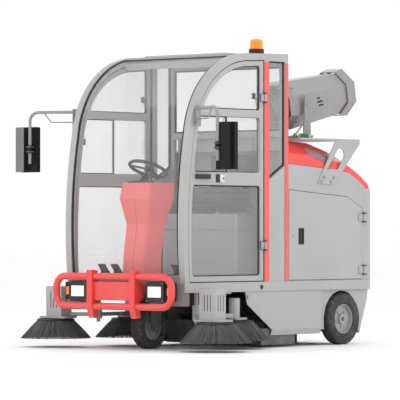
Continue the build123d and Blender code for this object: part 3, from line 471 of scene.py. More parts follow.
def boundary_loops(node, facing):
    """Outlines of the faces of a CAD node that face one way, as [(point, normal, inward), ...] lists."""
    bm = bmesh.new()
    bm.from_mesh(frame["nodes"][node].data)
    bmesh.ops.remove_doubles(bm, verts=bm.verts, dist=2e-5)
    chosen = {f for f in bm.faces if facing(f)}
    following, normals = {}, {}
    for face in chosen:
        for corner in face.loops:
            others = [f for f in corner.edge.link_faces if f in chosen]
            if len(others) == 1:
                following[corner.vert] = (corner.link_loop_next.vert, face.normal.copy())
            total = normals.get(corner.vert, Vector((0, 0, 0)))
            normals[corner.vert] = total + face.normal * face.calc_area()
    loops = []
    while following:
        start = min(following, key=lambda v: v.index)
        vert, chain = start, []
        while vert in following:
            chain.append((vert, *following.pop(vert)))
            vert = chain[-1][1]
        points = [link[0].co.copy() for link in chain]
        inwards = [(link[2].cross(link[1].co - link[0].co)).normalized() for link in chain]
        loop = []
        for k, (vert, _, _) in enumerate(chain):
            before, after = inwards[k - 1], inwards[k]
            mitre = before + after
            share = max(0.3, 1 + before.dot(after))
            loop.append((points[k], normals[vert].normalized(), mitre / share))
        loops.append(loop)
    bm.free()
    return loops


def band_into(bm, loop, near, far, low, high, lip=0.0008):
    """A strip along an outline, from near to far inwards and from low to high off the face."""
    section = [(near, low), (near, high - lip), (near + lip, high),
               (far - lip, high), (far, high - lip), (far, low)]
    rings = [[bm.verts.new(point + inward * a + normal * b) for a, b in section]
             for point, normal, inward in loop]
    skin_into(bm, rings, closed=True)


def extent(loop):
    points = [p for p, _, _ in loop]
    return max((a - b).length for a in points[::3] for b in points[::3])


# -------- window and door seals
def side_facing(sign, x):
    """Test for faces that look along X and lie in one plane."""
    def test(face):
        return face.normal.x * sign > 0.95 and abs(face.calc_center_median().x - x) < 0.001
    return test


def side_outlines(node, sign, *planes):
    """Outlines of a node's faces in (x, looks) planes: looks is 1 for outwards and -1 for inwards."""
    return [loop for x, looks in planes for loop in boundary_loops(node, side_facing(looks * sign, sign * x))]


def bands(name, outlines, section, body, look="seal_rubber"):
    """One piece with a strip along each outline."""
    bm = bmesh.new()
    for loop in outlines:
        band_into(bm, loop, *section)
    piece(name, bm, look, body, "rubber")


for side, sign in SIDES:
    door, pane = "door_" + side, "sliding_pane_" + side
    bands("door_seals_" + side, side_outlines("door_glass_" + side, sign, (0.579, 1), (0.574, -1)),
          (-0.0005, 0.0075, -0.001, 0.0045), door)
    inner_rim = max(side_outlines("door_frame_" + side, sign, (0.560, -1)), key=extent)
    bands("door_weatherstrip_" + side, [inner_rim], (-0.0032, 0.009, 0.0006, 0.009, 0.002), "chassis")
    outer_rim = max(side_outlines("door_frame_" + side, sign, (0.595, 1)), key=extent)
    bands("door_margin_" + side, [outer_rim], (-0.0036, 0.0030, -0.004, 0.0022, 0.001), door)
    bands("pane_edge_" + side, side_outlines(pane, sign, (0.571, 1), (0.566, -1)),
          (0.0, 0.0028, -0.0006, 0.0006, 0.0003), pane, "vent_grey")
    bands("quarter_seal_" + side, side_outlines("cab_glass", sign, (0.585, 1), (0.580, -1)),
          (-0.0003, 0.010, -0.001, 0.005, 0.0015), "chassis")


def windscreen_outside(face):
    """Test for faces ahead of the roof that look away from the middle of the windscreen's bend."""
    centre = face.calc_center_median()
    outwards = (centre - Vector((centre.x, -0.481, 1.552))).normalized()
    return abs(face.normal.x) < 0.1 and centre.y < -0.6415 and face.normal.dot(outwards) > 0.6


def rear_window(looks):
    def test(face):
        centre = face.calc_center_median()
        return face.normal.y * looks > 0.95 and centre.y > -0.05 and abs(centre.x) < 0.54
    return test


screen_seal = bmesh.new()
for loop in boundary_loops("cab_glass", windscreen_outside):
    band_into(screen_seal, loop, -0.0008, 0.017, -0.001, 0.004, lip=0.0015)
for looks in (1, -1):
    for loop in boundary_loops("cab_glass", rear_window(looks)):
        band_into(screen_seal, loop, -0.0003, 0.012, -0.001, 0.005, lip=0.0015)
piece("screen_seals", screen_seal, "seal_rubber", "chassis")


# -------- seat
CLOTH_VOXEL, CLOTH_PRESSURE, CLOTH_REACH = 0.0055, 3.0, 0.016
SEAM_WIDTH, SEAM_DEPTH = 0.0055, 0.0075


def closed_pad(name, size, corner, crown):
    """A rounded, slightly crowned block round the origin, to be inflated."""
    bm = bmesh.new()
    half = Vector(size) / 2
    box_into(bm, -half, half, bevel=corner, segments=5)
    for _ in range(3):
        long_edges = [e for e in bm.edges if e.calc_length() > 0.04]
        if long_edges:
            bmesh.ops.subdivide_edges(bm, edges=long_edges, cuts=1, use_grid_fill=True)
    for v in bm.verts:
        share = max(0.0, 1 - (v.co.x / half.x) ** 2) * max(0.0, 1 - (v.co.y / half.y) ** 2)
        if v.co.z > 0:
            v.co.z += crown * share
    bmesh.ops.triangulate(bm, faces=bm.faces)
    return mesh_of(name, bm)


def inflate(obj):
    """Remeshes a pad, inflates it as cloth and applies the result, with a limit on how far a point moves."""
    remesh = obj.modifiers.new("remesh", "REMESH")
    remesh.mode = "VOXEL"
    remesh.voxel_size = CLOTH_VOXEL
    apply_modifiers(obj)
    rest = [v.co.copy() for v in obj.data.vertices]
    cloth = obj.modifiers.new("cloth", "CLOTH")
    settings = cloth.settings
    settings.use_pressure = True
    settings.uniform_pressure_force = CLOTH_PRESSURE
    settings.effector_weights.gravity = 0
    settings.quality = 5
    settings.tension_stiffness = settings.compression_stiffness = 18
    settings.shear_stiffness = 6
    settings.bending_stiffness = 2.0
    for number in range(1, 21):
        scene.frame_set(number)
    apply_modifiers(obj)
    scene.frame_set(1)
    for v, start in zip(obj.data.vertices, rest):
        step = v.co - start
        if step.length > CLOTH_REACH:
            v.co = start + step * (CLOTH_REACH / step.length)


def apply_modifiers(obj):
    """Bakes the modifiers' result into the mesh."""
    graph = bpy.context.evaluated_depsgraph_get()
    mesh = bpy.data.meshes.new_from_object(obj.evaluated_get(graph))
    old = obj.data
    obj.modifiers.clear()
    obj.data = mesh
    if old.users == 0:
        bpy.data.meshes.remove(old)


def upholstered(name, size, corner, crown, seams, matrix):
    """A simulated pad with sewn channels, each an (axis, place, half length), at its place on the seat."""
    obj = place(name, closed_pad(name, size, corner, crown), "seat_vinyl", "seat", matrix=matrix)
    inflate(obj)
    half = Vector(size) / 2
    for v in obj.data.vertices:
        if v.co.z <= -half.z * 0.2:
            continue
        depth = 0.0
        for axis, at, limit in seams:
            left = limit - abs(v.co[1 - axis])
            if left > 0:
                groove = math.exp(-((v.co[axis] - at) / SEAM_WIDTH) ** 2)
                depth = max(depth, groove * min(1.0, left / 0.02))
        v.co.z -= SEAM_DEPTH * depth
    for v in obj.data.vertices:
        v.co.z = max(v.co.z, -half.z)
    subdivide = obj.modifiers.new("subdivide", "SUBSURF")
    subdivide.levels = subdivide.render_levels = 1
    apply_modifiers(obj)
    obj.data.polygons.foreach_set("use_smooth", [True] * len(obj.data.polygons))
    obj.data.materials.clear()
    obj.data.materials.append(M["seat_vinyl"])
    return obj


def piping(name, pad, half_x, half_y, corner, level):
    """A welt that follows the pad's rim at one level."""
    tree = BVHTree.FromPolygons([pad.matrix_world @ v.co for v in pad.data.vertices],
                                [list(p.vertices) for p in pad.data.polygons])
    points = []
    for sx, sy, start in ((1, 1, 0), (-1, 1, 90), (-1, -1, 180), (1, -1, 270)):
        middle = Vector((sx * (half_x - corner), sy * (half_y - corner), level))
        points += [middle + polar(corner, math.radians(angle)) for angle in steps(start, start + 90, 13)]
    path = []
    for a, b in zip(points, points[1:] + points[:1]):
        count = max(1, int((b - a).length / 0.012))
        for k in range(count):
            hit, normal, _, _ = tree.find_nearest(pad.matrix_world @ a.lerp(b, k / count))
            path.append(hit + normal * 0.0008)
    bm = bmesh.new()
    tube_into(bm, path, 0.0034, segments=8, closed=True)
    piece(name, bm, "seal_rubber", "seat", "seat_vinyl", smooth=80)


CUSHION_CENTRE = Matrix.Translation((0, -0.165, 1.170))
cushion = upholstered("seat_cushion_pad", (0.442, 0.352, 0.112), 0.034, 0.012,
                      [(0, -0.105, 0.15), (0, 0.105, 0.15), (1, -0.10, 0.21)], CUSHION_CENTRE)
piping("seat_cushion_welt", cushion, 0.215, 0.170, 0.05, 0.036)
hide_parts("seat_cushion")
BACK_TURN = (Matrix.Translation((0, 0.026, 1.378)) @ Matrix.Rotation(math.radians(-6), 4, "X")
             @ Matrix.Rotation(math.radians(90), 4, "X"))
backrest = upholstered("seat_back_pad", (0.402, 0.262, 0.070), 0.028, 0.010,
                       [(0, -0.095, 0.125), (0, 0.095, 0.125)], BACK_TURN)
piping("seat_back_welt", backrest, 0.194, 0.124, 0.045, 0.022)
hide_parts("seat_back")

shell = bmesh.new()
box_into(shell, (-0.222, -0.338, 1.090), (0.222, 0.012, 1.122), bevel=0.014, segments=4)
for x in (-0.145, 0.145):
    box_into(shell, (x - 0.020, -0.328, 1.0575), (x + 0.020, -0.002, 1.094), bevel=0.003)
    for y in (-0.30, -0.03):
        bolt_into(shell, (x + math.copysign(0.020, x), y, 1.075), (math.copysign(1, x), 0, 0), 0.006)
box_into(shell, (-0.190, -0.020, 1.112), (0.190, 0.016, 1.140), bevel=0.010, segments=3)
piece("seat_shell", shell, "black_plastic", "seat")
back_shell = bmesh.new()
box_into(back_shell, (-0.185, -0.118, -0.046), (0.185, 0.118, -0.030), bevel=0.007, segments=3)
for x in (-0.12, 0.12):
    box_into(back_shell, (x - 0.016, -0.135, -0.044), (x + 0.016, 0.02, -0.030), bevel=0.004)
piece("seat_back_shell", back_shell, "black_plastic", "seat", turn=BACK_TURN)


# -------- brushes
BRUSH_HEIGHT = 0.205
BRISTLE_TOP = 0.142
# tufts in the ring, strands in a tuft, radius at the plate, radius at the tips
TUFT_RINGS = ((96, 9, 0.140, 0.272), (84, 7, 0.132, 0.258), (60, 6, 0.112, 0.232), (44, 6, 0.090, 0.205))


def strand_into(bm, points, width, rng):
    """One flattened filament along points, tapering a little to its tip."""
    rings = []
    turn = rng.uniform(0, math.tau)
    last = len(points) - 1
    for k, p in enumerate(points):
        radius = width * (1.0 - 0.35 * k / last)
        along = (points[min(k + 1, last)] - points[max(k - 1, 0)]).normalized()
        side = along.orthogonal().normalized()
        rings.append(ring_into(bm, p, side, along.cross(side), radius, [turn + a for a in spread(3)]))
    skin_into(bm, rings)


def side_brush_bristles():
    """Rings of tufts that splay out from the back plate to the floor side."""
    rng = random.Random(11)
    bm = bmesh.new()
    for tufts, strands, top, tip in TUFT_RINGS:
        for t in range(tufts):
            centre = math.tau * (t + rng.uniform(-0.15, 0.15)) / tufts
            for _ in range(strands):
                a = centre + rng.gauss(0, 0.32) * math.tau / tufts
                lean = rng.gauss(0, 0.030)
                reach = tip - abs(rng.gauss(0, 0.0035))
                start = top + rng.uniform(-0.003, 0.003)
                low = abs(rng.gauss(0, 0.0035))
                points = [polar(start + (reach - start) * share ** 0.94, a + lean * share,
                                BRISTLE_TOP + (low - BRISTLE_TOP) * share) for share in (0, 1 / 3, 2 / 3, 1)]
                strand_into(bm, points, 0.00135, rng)
    lathe_into(bm, [(0.060, 0.141), (0.136, 0.141), (0.238, 0.020), (0.205, 0.018), (0.110, 0.120),
                    (0.060, 0.122)], segments=64)
    return mesh_of("side_brush_bristles", bm)


def side_brush_plate():
    """Back plate with a rolled rim, ribs, screws, the hub and its shaft."""
    bm = bmesh.new()
    lathe_into(bm, [(0, 0.138), (0.140, 0.138), (0.1475, 0.141), (0.1485, 0.147), (0.146, 0.1515),
                    (0.136, 0.1530), (0.080, 0.1530), (0.066, 0.1560), (0.040, 0.1575), (0.012, 0.1578),
                    (0.012, BRUSH_HEIGHT), (0, BRUSH_HEIGHT)], segments=72)
    for a in spread(8):
        box_into(bm, (0.070, -0.003, 0.151), (0.134, 0.003, 0.1572), bevel=0.001,
                 turn=Matrix.Rotation(a, 4, "Z"))
    for a in spread(4, 0.5):
        bolt_into(bm, polar(0.105, a, 0.1528), UP, 0.0048, washer=1.2)
    bmesh.ops.recalc_face_normals(bm, faces=bm.faces)
    return mesh_of("side_brush_plate", bm)


bristles, plate = side_brush_bristles(), side_brush_plate()
for which in ("outer", "inner"):
    for side, sign in SIDES:
        node = f"{which}_brush_{side}"
        low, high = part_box(node)
        spot = Matrix.Translation(((low.x + high.x) / 2, (low.y + high.y) / 2, low.z))
        tufts = place(node + "_bristles", bristles, "bristle", node, matrix=spot)
        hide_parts(node)
        place(node + "_plate", plate, "black_plastic", node, matrix=spot)


def roller_tuft_mesh():
    """Ten helical rows of tufts along X."""
    rng = random.Random(5)
    bm = bmesh.new()
    rows, per_row = 10, 64
    for row in range(rows):
        for t in range(per_row):
            along = -0.492 + 0.984 * (t + 0.5) / per_row
            centre = math.tau * (row / rows + 0.35 * t / per_row)
            for _ in range(5):
                a = centre + rng.gauss(0, 0.045)
                x = along + rng.gauss(0, 0.004)
                bend = rng.gauss(0, 0.03)
                tip = 0.149 - abs(rng.gauss(0, 0.003))
                points = [Vector((x, r * math.cos(a + bend * s), r * math.sin(a + bend * s)))
                          for r, s in ((0.078, 0), (0.115, 0.4), (tip, 1.0))]
                strand_into(bm, points, 0.0016, rng)
    return mesh_of("roller_tufts", bm)


low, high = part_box("main_roller")
axle = Matrix.Translation((low + high) / 2)
roller_tufts = place("roller_tufts", roller_tuft_mesh(), "bristle", "main_roller", matrix=axle)
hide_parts("main_roller")
core = bmesh.new()
half_core = [(0, 0.545), (0.015, 0.545), (0.016, 0.543), (0.016, 0.512), (0.050, 0.510), (0.052, 0.502),
             (0.080, 0.500), (0.082, 0.494)]
lathe_into(core, [(r, -x) for r, x in half_core] + half_core[::-1], axis=(1, 0, 0))
piece("roller_core", core, "dark_steel", "main_roller", turn=axle)


# -------- tyres
def tyre_mesh(radius, rim):
    """Ribbed industrial tyre round the X axis: zigzag grooves, shoulder sipes and ringed walls."""
    stretch = (radius - rim) / 0.087
    wall = [(0.0008, -0.039), (0.006, -0.0435), (0.010, -0.0500), (0.020, -0.0540), (0.022, -0.0548),
            (0.025, -0.0548), (0.027, -0.0542), (0.045, -0.055), (0.058, -0.0548), (0.060, -0.0540),
            (0.063, -0.0540), (0.065, -0.0530), (0.074, -0.0500), (0.0805, -0.0455), (0.0838, -0.0405)]
    wall = [(rim + stretch * r, x) for r, x in wall]
    crown = [(radius - 0.0012 * across ** 2, 0.038 * across) for across in steps(-1, 1, 35)]
    bead = [(rim + 0.0008, 0.030), (rim + 0.0008, -0.030)]
    profile = wall + crown + [(r, -x) for r, x in reversed(wall)] + bead
    bm = bmesh.new()
    rings = []
    for k, a in enumerate(spread(240)):
        zig = 0.0030 * (1 if (k // 6) % 2 else -1)
        ring = []
        for r, x in profile:
            depth = 0.0
            in_groove = any(abs(x - groove - zig) < 0.0026 for groove in (-0.021, 0.0, 0.021))
            if in_groove and abs(x) <= 0.0405 and r > radius - 0.007:
                depth = 0.0065
            if k % 6 == 0 and 0.030 < abs(x) < 0.0475 and r > radius - 0.009:
                depth = max(depth, 0.0045)
            ring.append(bm.verts.new((x, (r - depth) * math.cos(a), (r - depth) * math.sin(a))))
        rings.append(ring)
    skin_into(bm, rings, closed=True)
    bmesh.ops.recalc_face_normals(bm, faces=bm.faces)
    return mesh_of("ribbed_tyre", bm)


rear_tyre, front_tyre = tyre_mesh(0.205, 0.118), tyre_mesh(0.165, 0.095)
WHEEL_BODIES = {"front_tyre": "front_wheel", "rear_tyre_left": "rear_wheel_left",
                "rear_tyre_right": "rear_wheel_right"}
for node, body in WHEEL_BODIES.items():
    low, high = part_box(node)
    tyre = front_tyre if node == "front_tyre" else rear_tyre
    shown = place(node + "_ribbed", tyre, "tyre_rubber", body,
                  matrix=Matrix.Translation((low + high) / 2), smooth=50)
    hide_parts(node)


# -------- lamps, beacon and mirrors
def lens_ribs_into(bm, low, high, count, across, depth):
    """A thin moulded lens with ribs on its front face, side by side along axis number across."""
    low, high = Vector(low), Vector(high)
    box_into(bm, low, high, bevel=0.0015)
    span = (high - low)[across]
    other = 2 - across
    for k in range(count):
        a, b = low.copy(), high.copy()
        a[across] = low[across] + span * (k + 0.22) / count
        b[across] = low[across] + span * (k + 0.78) / count
        a[other] += 0.006
        b[other] -= 0.006
        a.y, b.y = low.y - depth, low.y + 0.001
        box_into(bm, a, b, bevel=0.0006, segments=1)


lamp_low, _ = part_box("lamp_lenses")
front = lamp_low.y
step = front + 0.021
for side, sign in SIDES:
    x0, x1 = sorted((sign * 0.3265, sign * 0.4545))
    lens = bmesh.new()
    lens_ribs_into(lens, (x0, front + 0.0012, 0.407), (x1, front + 0.0045, 0.487), 9, 0, 0.0008)
    head = piece("headlamp_lens_" + side, lens, "lamp_lens", "chassis")
    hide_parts("lamp_lenses")
    bowl = bmesh.new()
    centre = ((x0 + x1) / 2, front + 0.0055, 0.447)
    lathe_into(bowl, [(0.040, 0.0), (0.0395, -0.002), (0.030, -0.0085), (0.010, -0.0098), (0.0, -0.0098)],
               centre, FORWARDS, 40)
    lathe_into(bowl, [(0.012, -0.0098), (0.012, -0.005), (0.006, -0.003), (0, -0.003)], centre, FORWARDS, 24)
    piece("headlamp_reflector_" + side, bowl, "chrome_reflector", "chassis")
    x0, x1 = sorted((sign * 0.5000, sign * 0.5280))
    amber = bmesh.new()
    lens_ribs_into(amber, (x0, step + 0.0016, 0.419), (x1, step + 0.013, 0.479), 7, 2, 0.0012)
    piece("indicator_lens_" + side, amber, "amber_lens", "chassis")
    bezel = bmesh.new()
    for z in (0.378, 0.516):
        for x in (0.313, 0.472):
            bolt_into(bezel, (sign * x, -1.361, z), FORWARDS, 0.0035, washer=1.3)
    piece("lamp_screws_" + side, bezel, "bolt_steel", "chassis")

beacon_low, beacon_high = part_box("beacon_lens")
beacon_at = Vector(((beacon_low.x + beacon_high.x) / 2, (beacon_low.y + beacon_high.y) / 2, beacon_low.z))
dome = bmesh.new()
dome_profile = [(0.044, 0.0), (0.0505, 0.0), (0.0515, 0.003), (0.0515, 0.006)]
for z in steps(0.008, 0.062, 11):
    dome_profile += [(0.0495, z), (0.0512, z + 0.0014), (0.0512, z + 0.0034), (0.0495, z + 0.0046)]
dome_profile += [(0.0490, 0.0685), (0.0470, 0.0745), (0.0420, 0.0795), (0.0330, 0.0828), (0.0180, 0.0838),
                 (0, 0.0840)]
lathe_into(dome, dome_profile, beacon_at, segments=64)
beacon = piece("beacon_dome", dome, "amber_lens", "chassis", smooth=28)
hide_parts("beacon_lens")
ring = bmesh.new()
lathe_into(ring, [(0.050, -0.002), (0.0575, -0.002), (0.0580, 0.0), (0.0575, 0.004), (0.0530, 0.006),
                  (0.0515, 0.006)], beacon_at, segments=64)
for a in spread(3):
    bolt_into(ring, beacon_at + polar(0.0545, a, 0.0046), UP, 0.0022, washer=1.1)
piece("beacon_ring", ring, "black_plastic", "chassis")

for side, sign in SIDES:
    low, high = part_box("mirror_head_" + side)
    head, back = "mirror_head_" + side, high.y - 0.0002
    glass = bmesh.new()
    box_into(glass, (low.x + 0.0095, back - 0.0008, low.z + 0.0095), (high.x - 0.0095, back, high.z - 0.0095),
             bevel=0.0003, segments=1)
    piece("mirror_glass_" + side, glass, "mirror_glass", head)
    # a thin panel on the head's front face: a grey painted highlight on the right mirror, the head's own black
    # on the left one
    painted_face = bmesh.new()
    side_box_into(painted_face, sign, (1.004, low.y - 0.0014, low.z + 0.0015),
                  (1.0905, low.y + 0.001, high.z - 0.0015), bevel=0.0004, segments=1)
    piece("mirror_painted_face_" + side, painted_face, "mirror_painted_highlight" if sign < 0 else "mirror_shell", head)
    clamp = bmesh.new()
    for z in (1.527, 1.563):
        side_box_into(clamp, sign, (0.933, -1.3150, z - 0.006), (0.977, -1.268, z + 0.006), bevel=0.002)
        side_bolts_into(clamp, sign, 0.977, [(-1.277, z)], 0.0035)
    piece("mirror_clamp_" + side, clamp, "dark_steel", head)
    plate_bolts = bmesh.new()
    spots = [(y, z) for z in (1.709, 1.780, 1.851) for y in (-1.146, -1.112)]
    side_bolts_into(plate_bolts, sign, 0.636, spots, 0.0036)
    piece("mirror_plate_bolts_" + side, plate_bolts, "bolt_steel", "chassis")


# -------- cannon
TILT = math.radians(10)
PIVOT = Vector((0, 0.7, 1.93))
MOUTH = (1.423 - PIVOT.y - 0.195 * math.sin(TILT)) / math.cos(TILT)
BARREL_LEVEL = Matrix.Translation(PIVOT) @ Matrix.Rotation(TILT, 4, "X")
BARREL = Matrix.Translation(PIVOT) @ Matrix.Rotation(-(math.pi / 2 - TILT), 4, "X")

guards = bmesh.new()
for z, reach, radii, wire in ((-0.144, 0.172, (0.045, 0.085, 0.125, 0.158), 0.0026),
                              (0.630, 0.157, (0.04, 0.08, 0.12), 0.0022)):
    for radius in radii:
        hoop_into(guards, radius, z, wire, 48, 6)
    for a in spread(8, 0.5):
        tube_into(guards, [polar(0.02, a, z), polar(reach, a, z)], wire, 6)
piece("cannon_guards", guards, "zinc_steel", "cannon_barrel", turn=BARREL)

rail = bmesh.new()
hoop_into(rail, 0.172, MOUTH - 0.028, 0.0055, 64, 10)
piece("mist_ring", rail, "bolt_steel", "cannon_barrel", turn=BARREL)
nozzles = bmesh.new()
for a in spread(16, 0.5):
    lathe_into(nozzles, [(0.0, 0.0), (0.0065, 0.0), (0.0065, 0.007), (0.0045, 0.009), (0.0045, 0.013),
                         (0.0015, 0.015), (0, 0.015)], polar(0.168, a, MOUTH - 0.024),
               polar(-0.35, a, 1.0), 12)
piece("mist_nozzles", nozzles, "brass_nozzle", "cannon_barrel", turn=BARREL)

dashes = bmesh.new()
for sign in (1, -1):
    for z, at, length in ((0.018, 0.217, 0.045), (-0.012, 0.217, 0.095), (-0.042, 0.237, 0.075)):
        wall = 0.196 - 0.031 * (at + 0.07) / 0.71
        side_box_into(dashes, sign, (wall, at - length / 2, z - 0.007),
                      (wall + 0.0012, at + length / 2, z + 0.007), bevel=0.0004, segments=1)
piece("barrel_stripes", dashes, "black_plastic", "cannon_barrel", turn=BARREL_LEVEL)

rivets = bmesh.new()
for z, r in ((-0.135, 0.1812), (0.560, 0.1685)):
    for a in spread(8):
        for off in (-0.045, 0.045):
            at = BARREL @ (polar(r, a, z) + polar(off, a + math.pi / 2))
            out = BARREL.to_3x3() @ polar(1, a)
            lathe_into(rivets, [(0.006, -0.001), (0.0058, 0.001), (0.004, 0.0028), (0, 0.0034)], at, out, 14)
piece("barrel_rivets", rivets, "bolt_steel", "cannon_barrel")

yoke_bolts = bmesh.new()
for sign in (1, -1):
    side_bolts_into(yoke_bolts, sign, 0.236, [(0.712, z) for z in (1.955, 1.905, 1.865)], 0.0062)
    for y in (0.564, 0.588):
        bolt_into(yoke_bolts, (sign * 0.213, y, 1.690), UP, 0.005)
for a in spread(8):
    bolt_into(yoke_bolts, Vector((0, PIVOT.y, 1.6603)) + polar(0.132, a + 0.2), UP, 0.0065)
piece("yoke_bolts", yoke_bolts, "bolt_steel", "cannon_yoke")

leg_bolts = bmesh.new()
for sign in (1, -1):
    for y, z in ((0.449, 1.332), (0.576, 1.333), (0.417, 1.300), (0.536, 1.296)):
        lathe_into(leg_bolts, [(0.0, 0.0), (0.0155, 0.0), (0.0155, 0.0014), (0.0150, 0.0018), (0.0, 0.0018)],
                   (sign * 0.6021, y, z), (sign, 0, 0), 24)
        side_bolts_into(leg_bolts, sign, 0.6065, [(y, z)], 0.0070, washer=1.05)
piece("bracket_bolts", leg_bolts, "bolt_steel", "chassis")

PLATFORM_TOP = 1.6402
fitting = bmesh.new()
for x, y in ((0.335, 0.60), (0.335, 0.635), (0.560, 0.186), (0.560, 0.262)):
    lathe_into(fitting, [(0, 0), (0.011, 0), (0.011, 0.012), (0.008, 0.014), (0.008, 0.022), (0.012, 0.024),
                         (0.012, 0.034), (0, 0.034)], (x, y, PLATFORM_TOP), segments=20)
piece("platform_fittings", fitting, "brass_nozzle", "chassis")
valves = bmesh.new()
for y in (0.198, 0.232, 0.266):
    box_into(valves, (0.528, y - 0.013, PLATFORM_TOP), (0.584, y + 0.013, 1.6600), bevel=0.002)
    lathe_into(valves, [(0, 0), (0.010, 0), (0.0115, 0.004), (0.0115, 0.012), (0.009, 0.015), (0, 0.015)],
               (0.568, y, 1.6598), segments=20)
piece("platform_valves", valves, "valve_green", "chassis")


# -------- body details
hood_mesh = frame["nodes"]["hood"].data
hood_tree = BVHTree.FromPolygons([v.co for v in hood_mesh.vertices],
                                 [list(p.vertices) for p in hood_mesh.polygons])


def on_hood(y, drop, sign):
    """A point and its outward normal on the hood's side, a drop below the vent's sloping top louvre."""
    z = 1.556 - 0.088 * (y - 0.305) / 0.31 - drop
    hit, normal, _, _ = hood_tree.ray_cast(Vector((sign * 0.75, y, z)), Vector((-sign, 0, 0)))
    return hit, normal if normal.x * sign > 0 else -normal


def louvre_section(bm, point, normal, sign):
    """Four corners across a louvre that stands on the hood and hangs over a little."""
    foot, lip, drop = point - normal * 0.002, normal * 0.0042, Vector((sign * 0.0020, 0, -0.0062))
    return [bm.verts.new(p) for p in (foot, point + lip, point + lip * 0.5 + drop, foot + drop)]


def hinge_screws_into(bm, sign, heights, columns):
    """Four screws in each hinge leaf."""
    spots = [(y, z + dz) for z in heights for y in columns for dz in (-0.018, 0.018)]
    side_bolts_into(bm, sign, 0.606, spots, 0.0028, washer=1.2)


for side, sign in SIDES:
    outwards = (sign, 0, 0)
    vents = bmesh.new()
    for row in range(6):
        edge = [on_hood(y, row * 0.0085, sign) for y in steps(0.305, 0.575, 15)]
        for a, b in zip(edge[:-1], edge[1:]):
            bridge(vents, louvre_section(vents, *a, sign), louvre_section(vents, *b, sign))
    rim = [on_hood(y, -0.006, sign) for y in steps(0.292, 0.588, 15)]
    rim += [on_hood(y, 0.058, sign) for y in steps(0.588, 0.292, 15)]
    tube_into(vents, [hit + normal * 0.0008 for hit, normal in rim], 0.0032, 8, closed=True)
    bmesh.ops.remove_doubles(vents, verts=vents.verts, dist=1e-6)
    piece("hood_vent_" + side, vents, "vent_grey", "chassis")

    hardware = bmesh.new()
    hinge_screws_into(hardware, sign, (0.795, 1.938), (-0.318, -0.334))
    piece("door_screws_" + side, hardware, "bolt_steel", "door_" + side)
    service_door = "service_door_" + side
    service = bmesh.new()
    hinge_screws_into(service, sign, (0.594, 1.015), (0.915, 0.938))
    lathe_into(service, [(0.0, 0.0), (0.0095, 0.0), (0.0095, 0.0010), (0.0085, 0.0016), (0.0030, 0.0016),
                         (0.0030, 0.0004), (0, 0.0004)], (sign * 0.601, 0.066, 0.867), outwards, 28)
    piece("service_door_hardware_" + side, service, "bolt_steel", service_door)
    grip = bmesh.new()
    for y0, z0, y1, z1 in ((0.130, 0.802, 0.138, 0.928), (0.190, 0.802, 0.198, 0.928),
                           (0.138, 0.802, 0.190, 0.811), (0.138, 0.919, 0.190, 0.928)):
        side_box_into(grip, sign, (0.5885, y0, z0), (0.5970, y1, z1), bevel=0.002)
    side_box_into(grip, sign, (0.5881, 0.136, 0.808), (0.5892, 0.192, 0.922))
    side_box_into(grip, sign, (0.589, 0.146, 0.812), (0.5955, 0.166, 0.918), bevel=0.003)
    piece("service_door_grip_" + side, grip, "black_plastic", service_door)

    lock = bmesh.new()
    side_box_into(lock, sign, (0.5945, -0.884, 1.276), (0.5985, -0.836, 1.340), bevel=0.0015)
    corners = [(y, z) for y in (-0.874, -0.846) for z in (1.331, 1.285)]
    side_bolts_into(lock, sign, 0.5985, corners, 0.0028, washer=1.1)
    piece("lock_plate_" + side, lock, "black_plastic", "door_" + side)
    keeper = bmesh.new()
    side_box_into(keeper, sign, (0.5945, -0.832, 1.280), (0.5985, -0.782, 1.336), bevel=0.0015)
    lathe_into(keeper, [(0.011, 0.0), (0.011, 0.002), (0.009, 0.0035), (0.0, 0.0035)],
               (sign * 0.5984, -0.800, 1.308), outwards, 24)
    piece("lock_cover_" + side, keeper, "label_white", "door_" + side)
    cylinder = bmesh.new()
    lathe_into(cylinder, [(0.0075, 0.0), (0.0075, 0.0030), (0.0065, 0.0042), (0.0018, 0.0042), (0.0018, 0.003),
                          (0, 0.003)], (sign * 0.6015, -0.800, 1.308), outwards, 20)
    piece("lock_cylinder_" + side, cylinder, "black_plastic", "door_" + side)

    cap = bmesh.new()
    lathe_into(cap, [(0, 0), (0.0165, 0), (0.0165, 0.003), (0.0145, 0.0055), (0.006, 0.0060), (0.005, 0.0045),
                     (0, 0.0045)], (sign * 0.6, -0.336, 0.474), outwards, 32)
    piece("sill_cap_" + side, cap, "black_plastic", "chassis")
    clamps = bmesh.new()
    for y, z in ((-1.098, 1.60), (-0.395, 1.95)):
        side_box_into(clamps, sign, (0.5605, y - 0.018, z - 0.024), (0.574, y + 0.018, z + 0.024), bevel=0.003)
    piece("glass_clamps_" + side, clamps, "black_plastic", "door_" + side)


# -------- inside the cab
mat = bmesh.new()
box_into(mat, (-0.530, -1.050, 0.5152), (0.530, -0.400, 0.5195), bevel=0.0015)
for y in steps(-1.040, -0.413, 34):
    for x0, x1 in ((-0.520, -0.130), (0.130, 0.520)):
        box_into(mat, (x0, y, 0.519), (x1, y + 0.008, 0.5218), bevel=0.0008, segments=1)
piece("floor_mat", mat, "mat_rubber", "chassis")

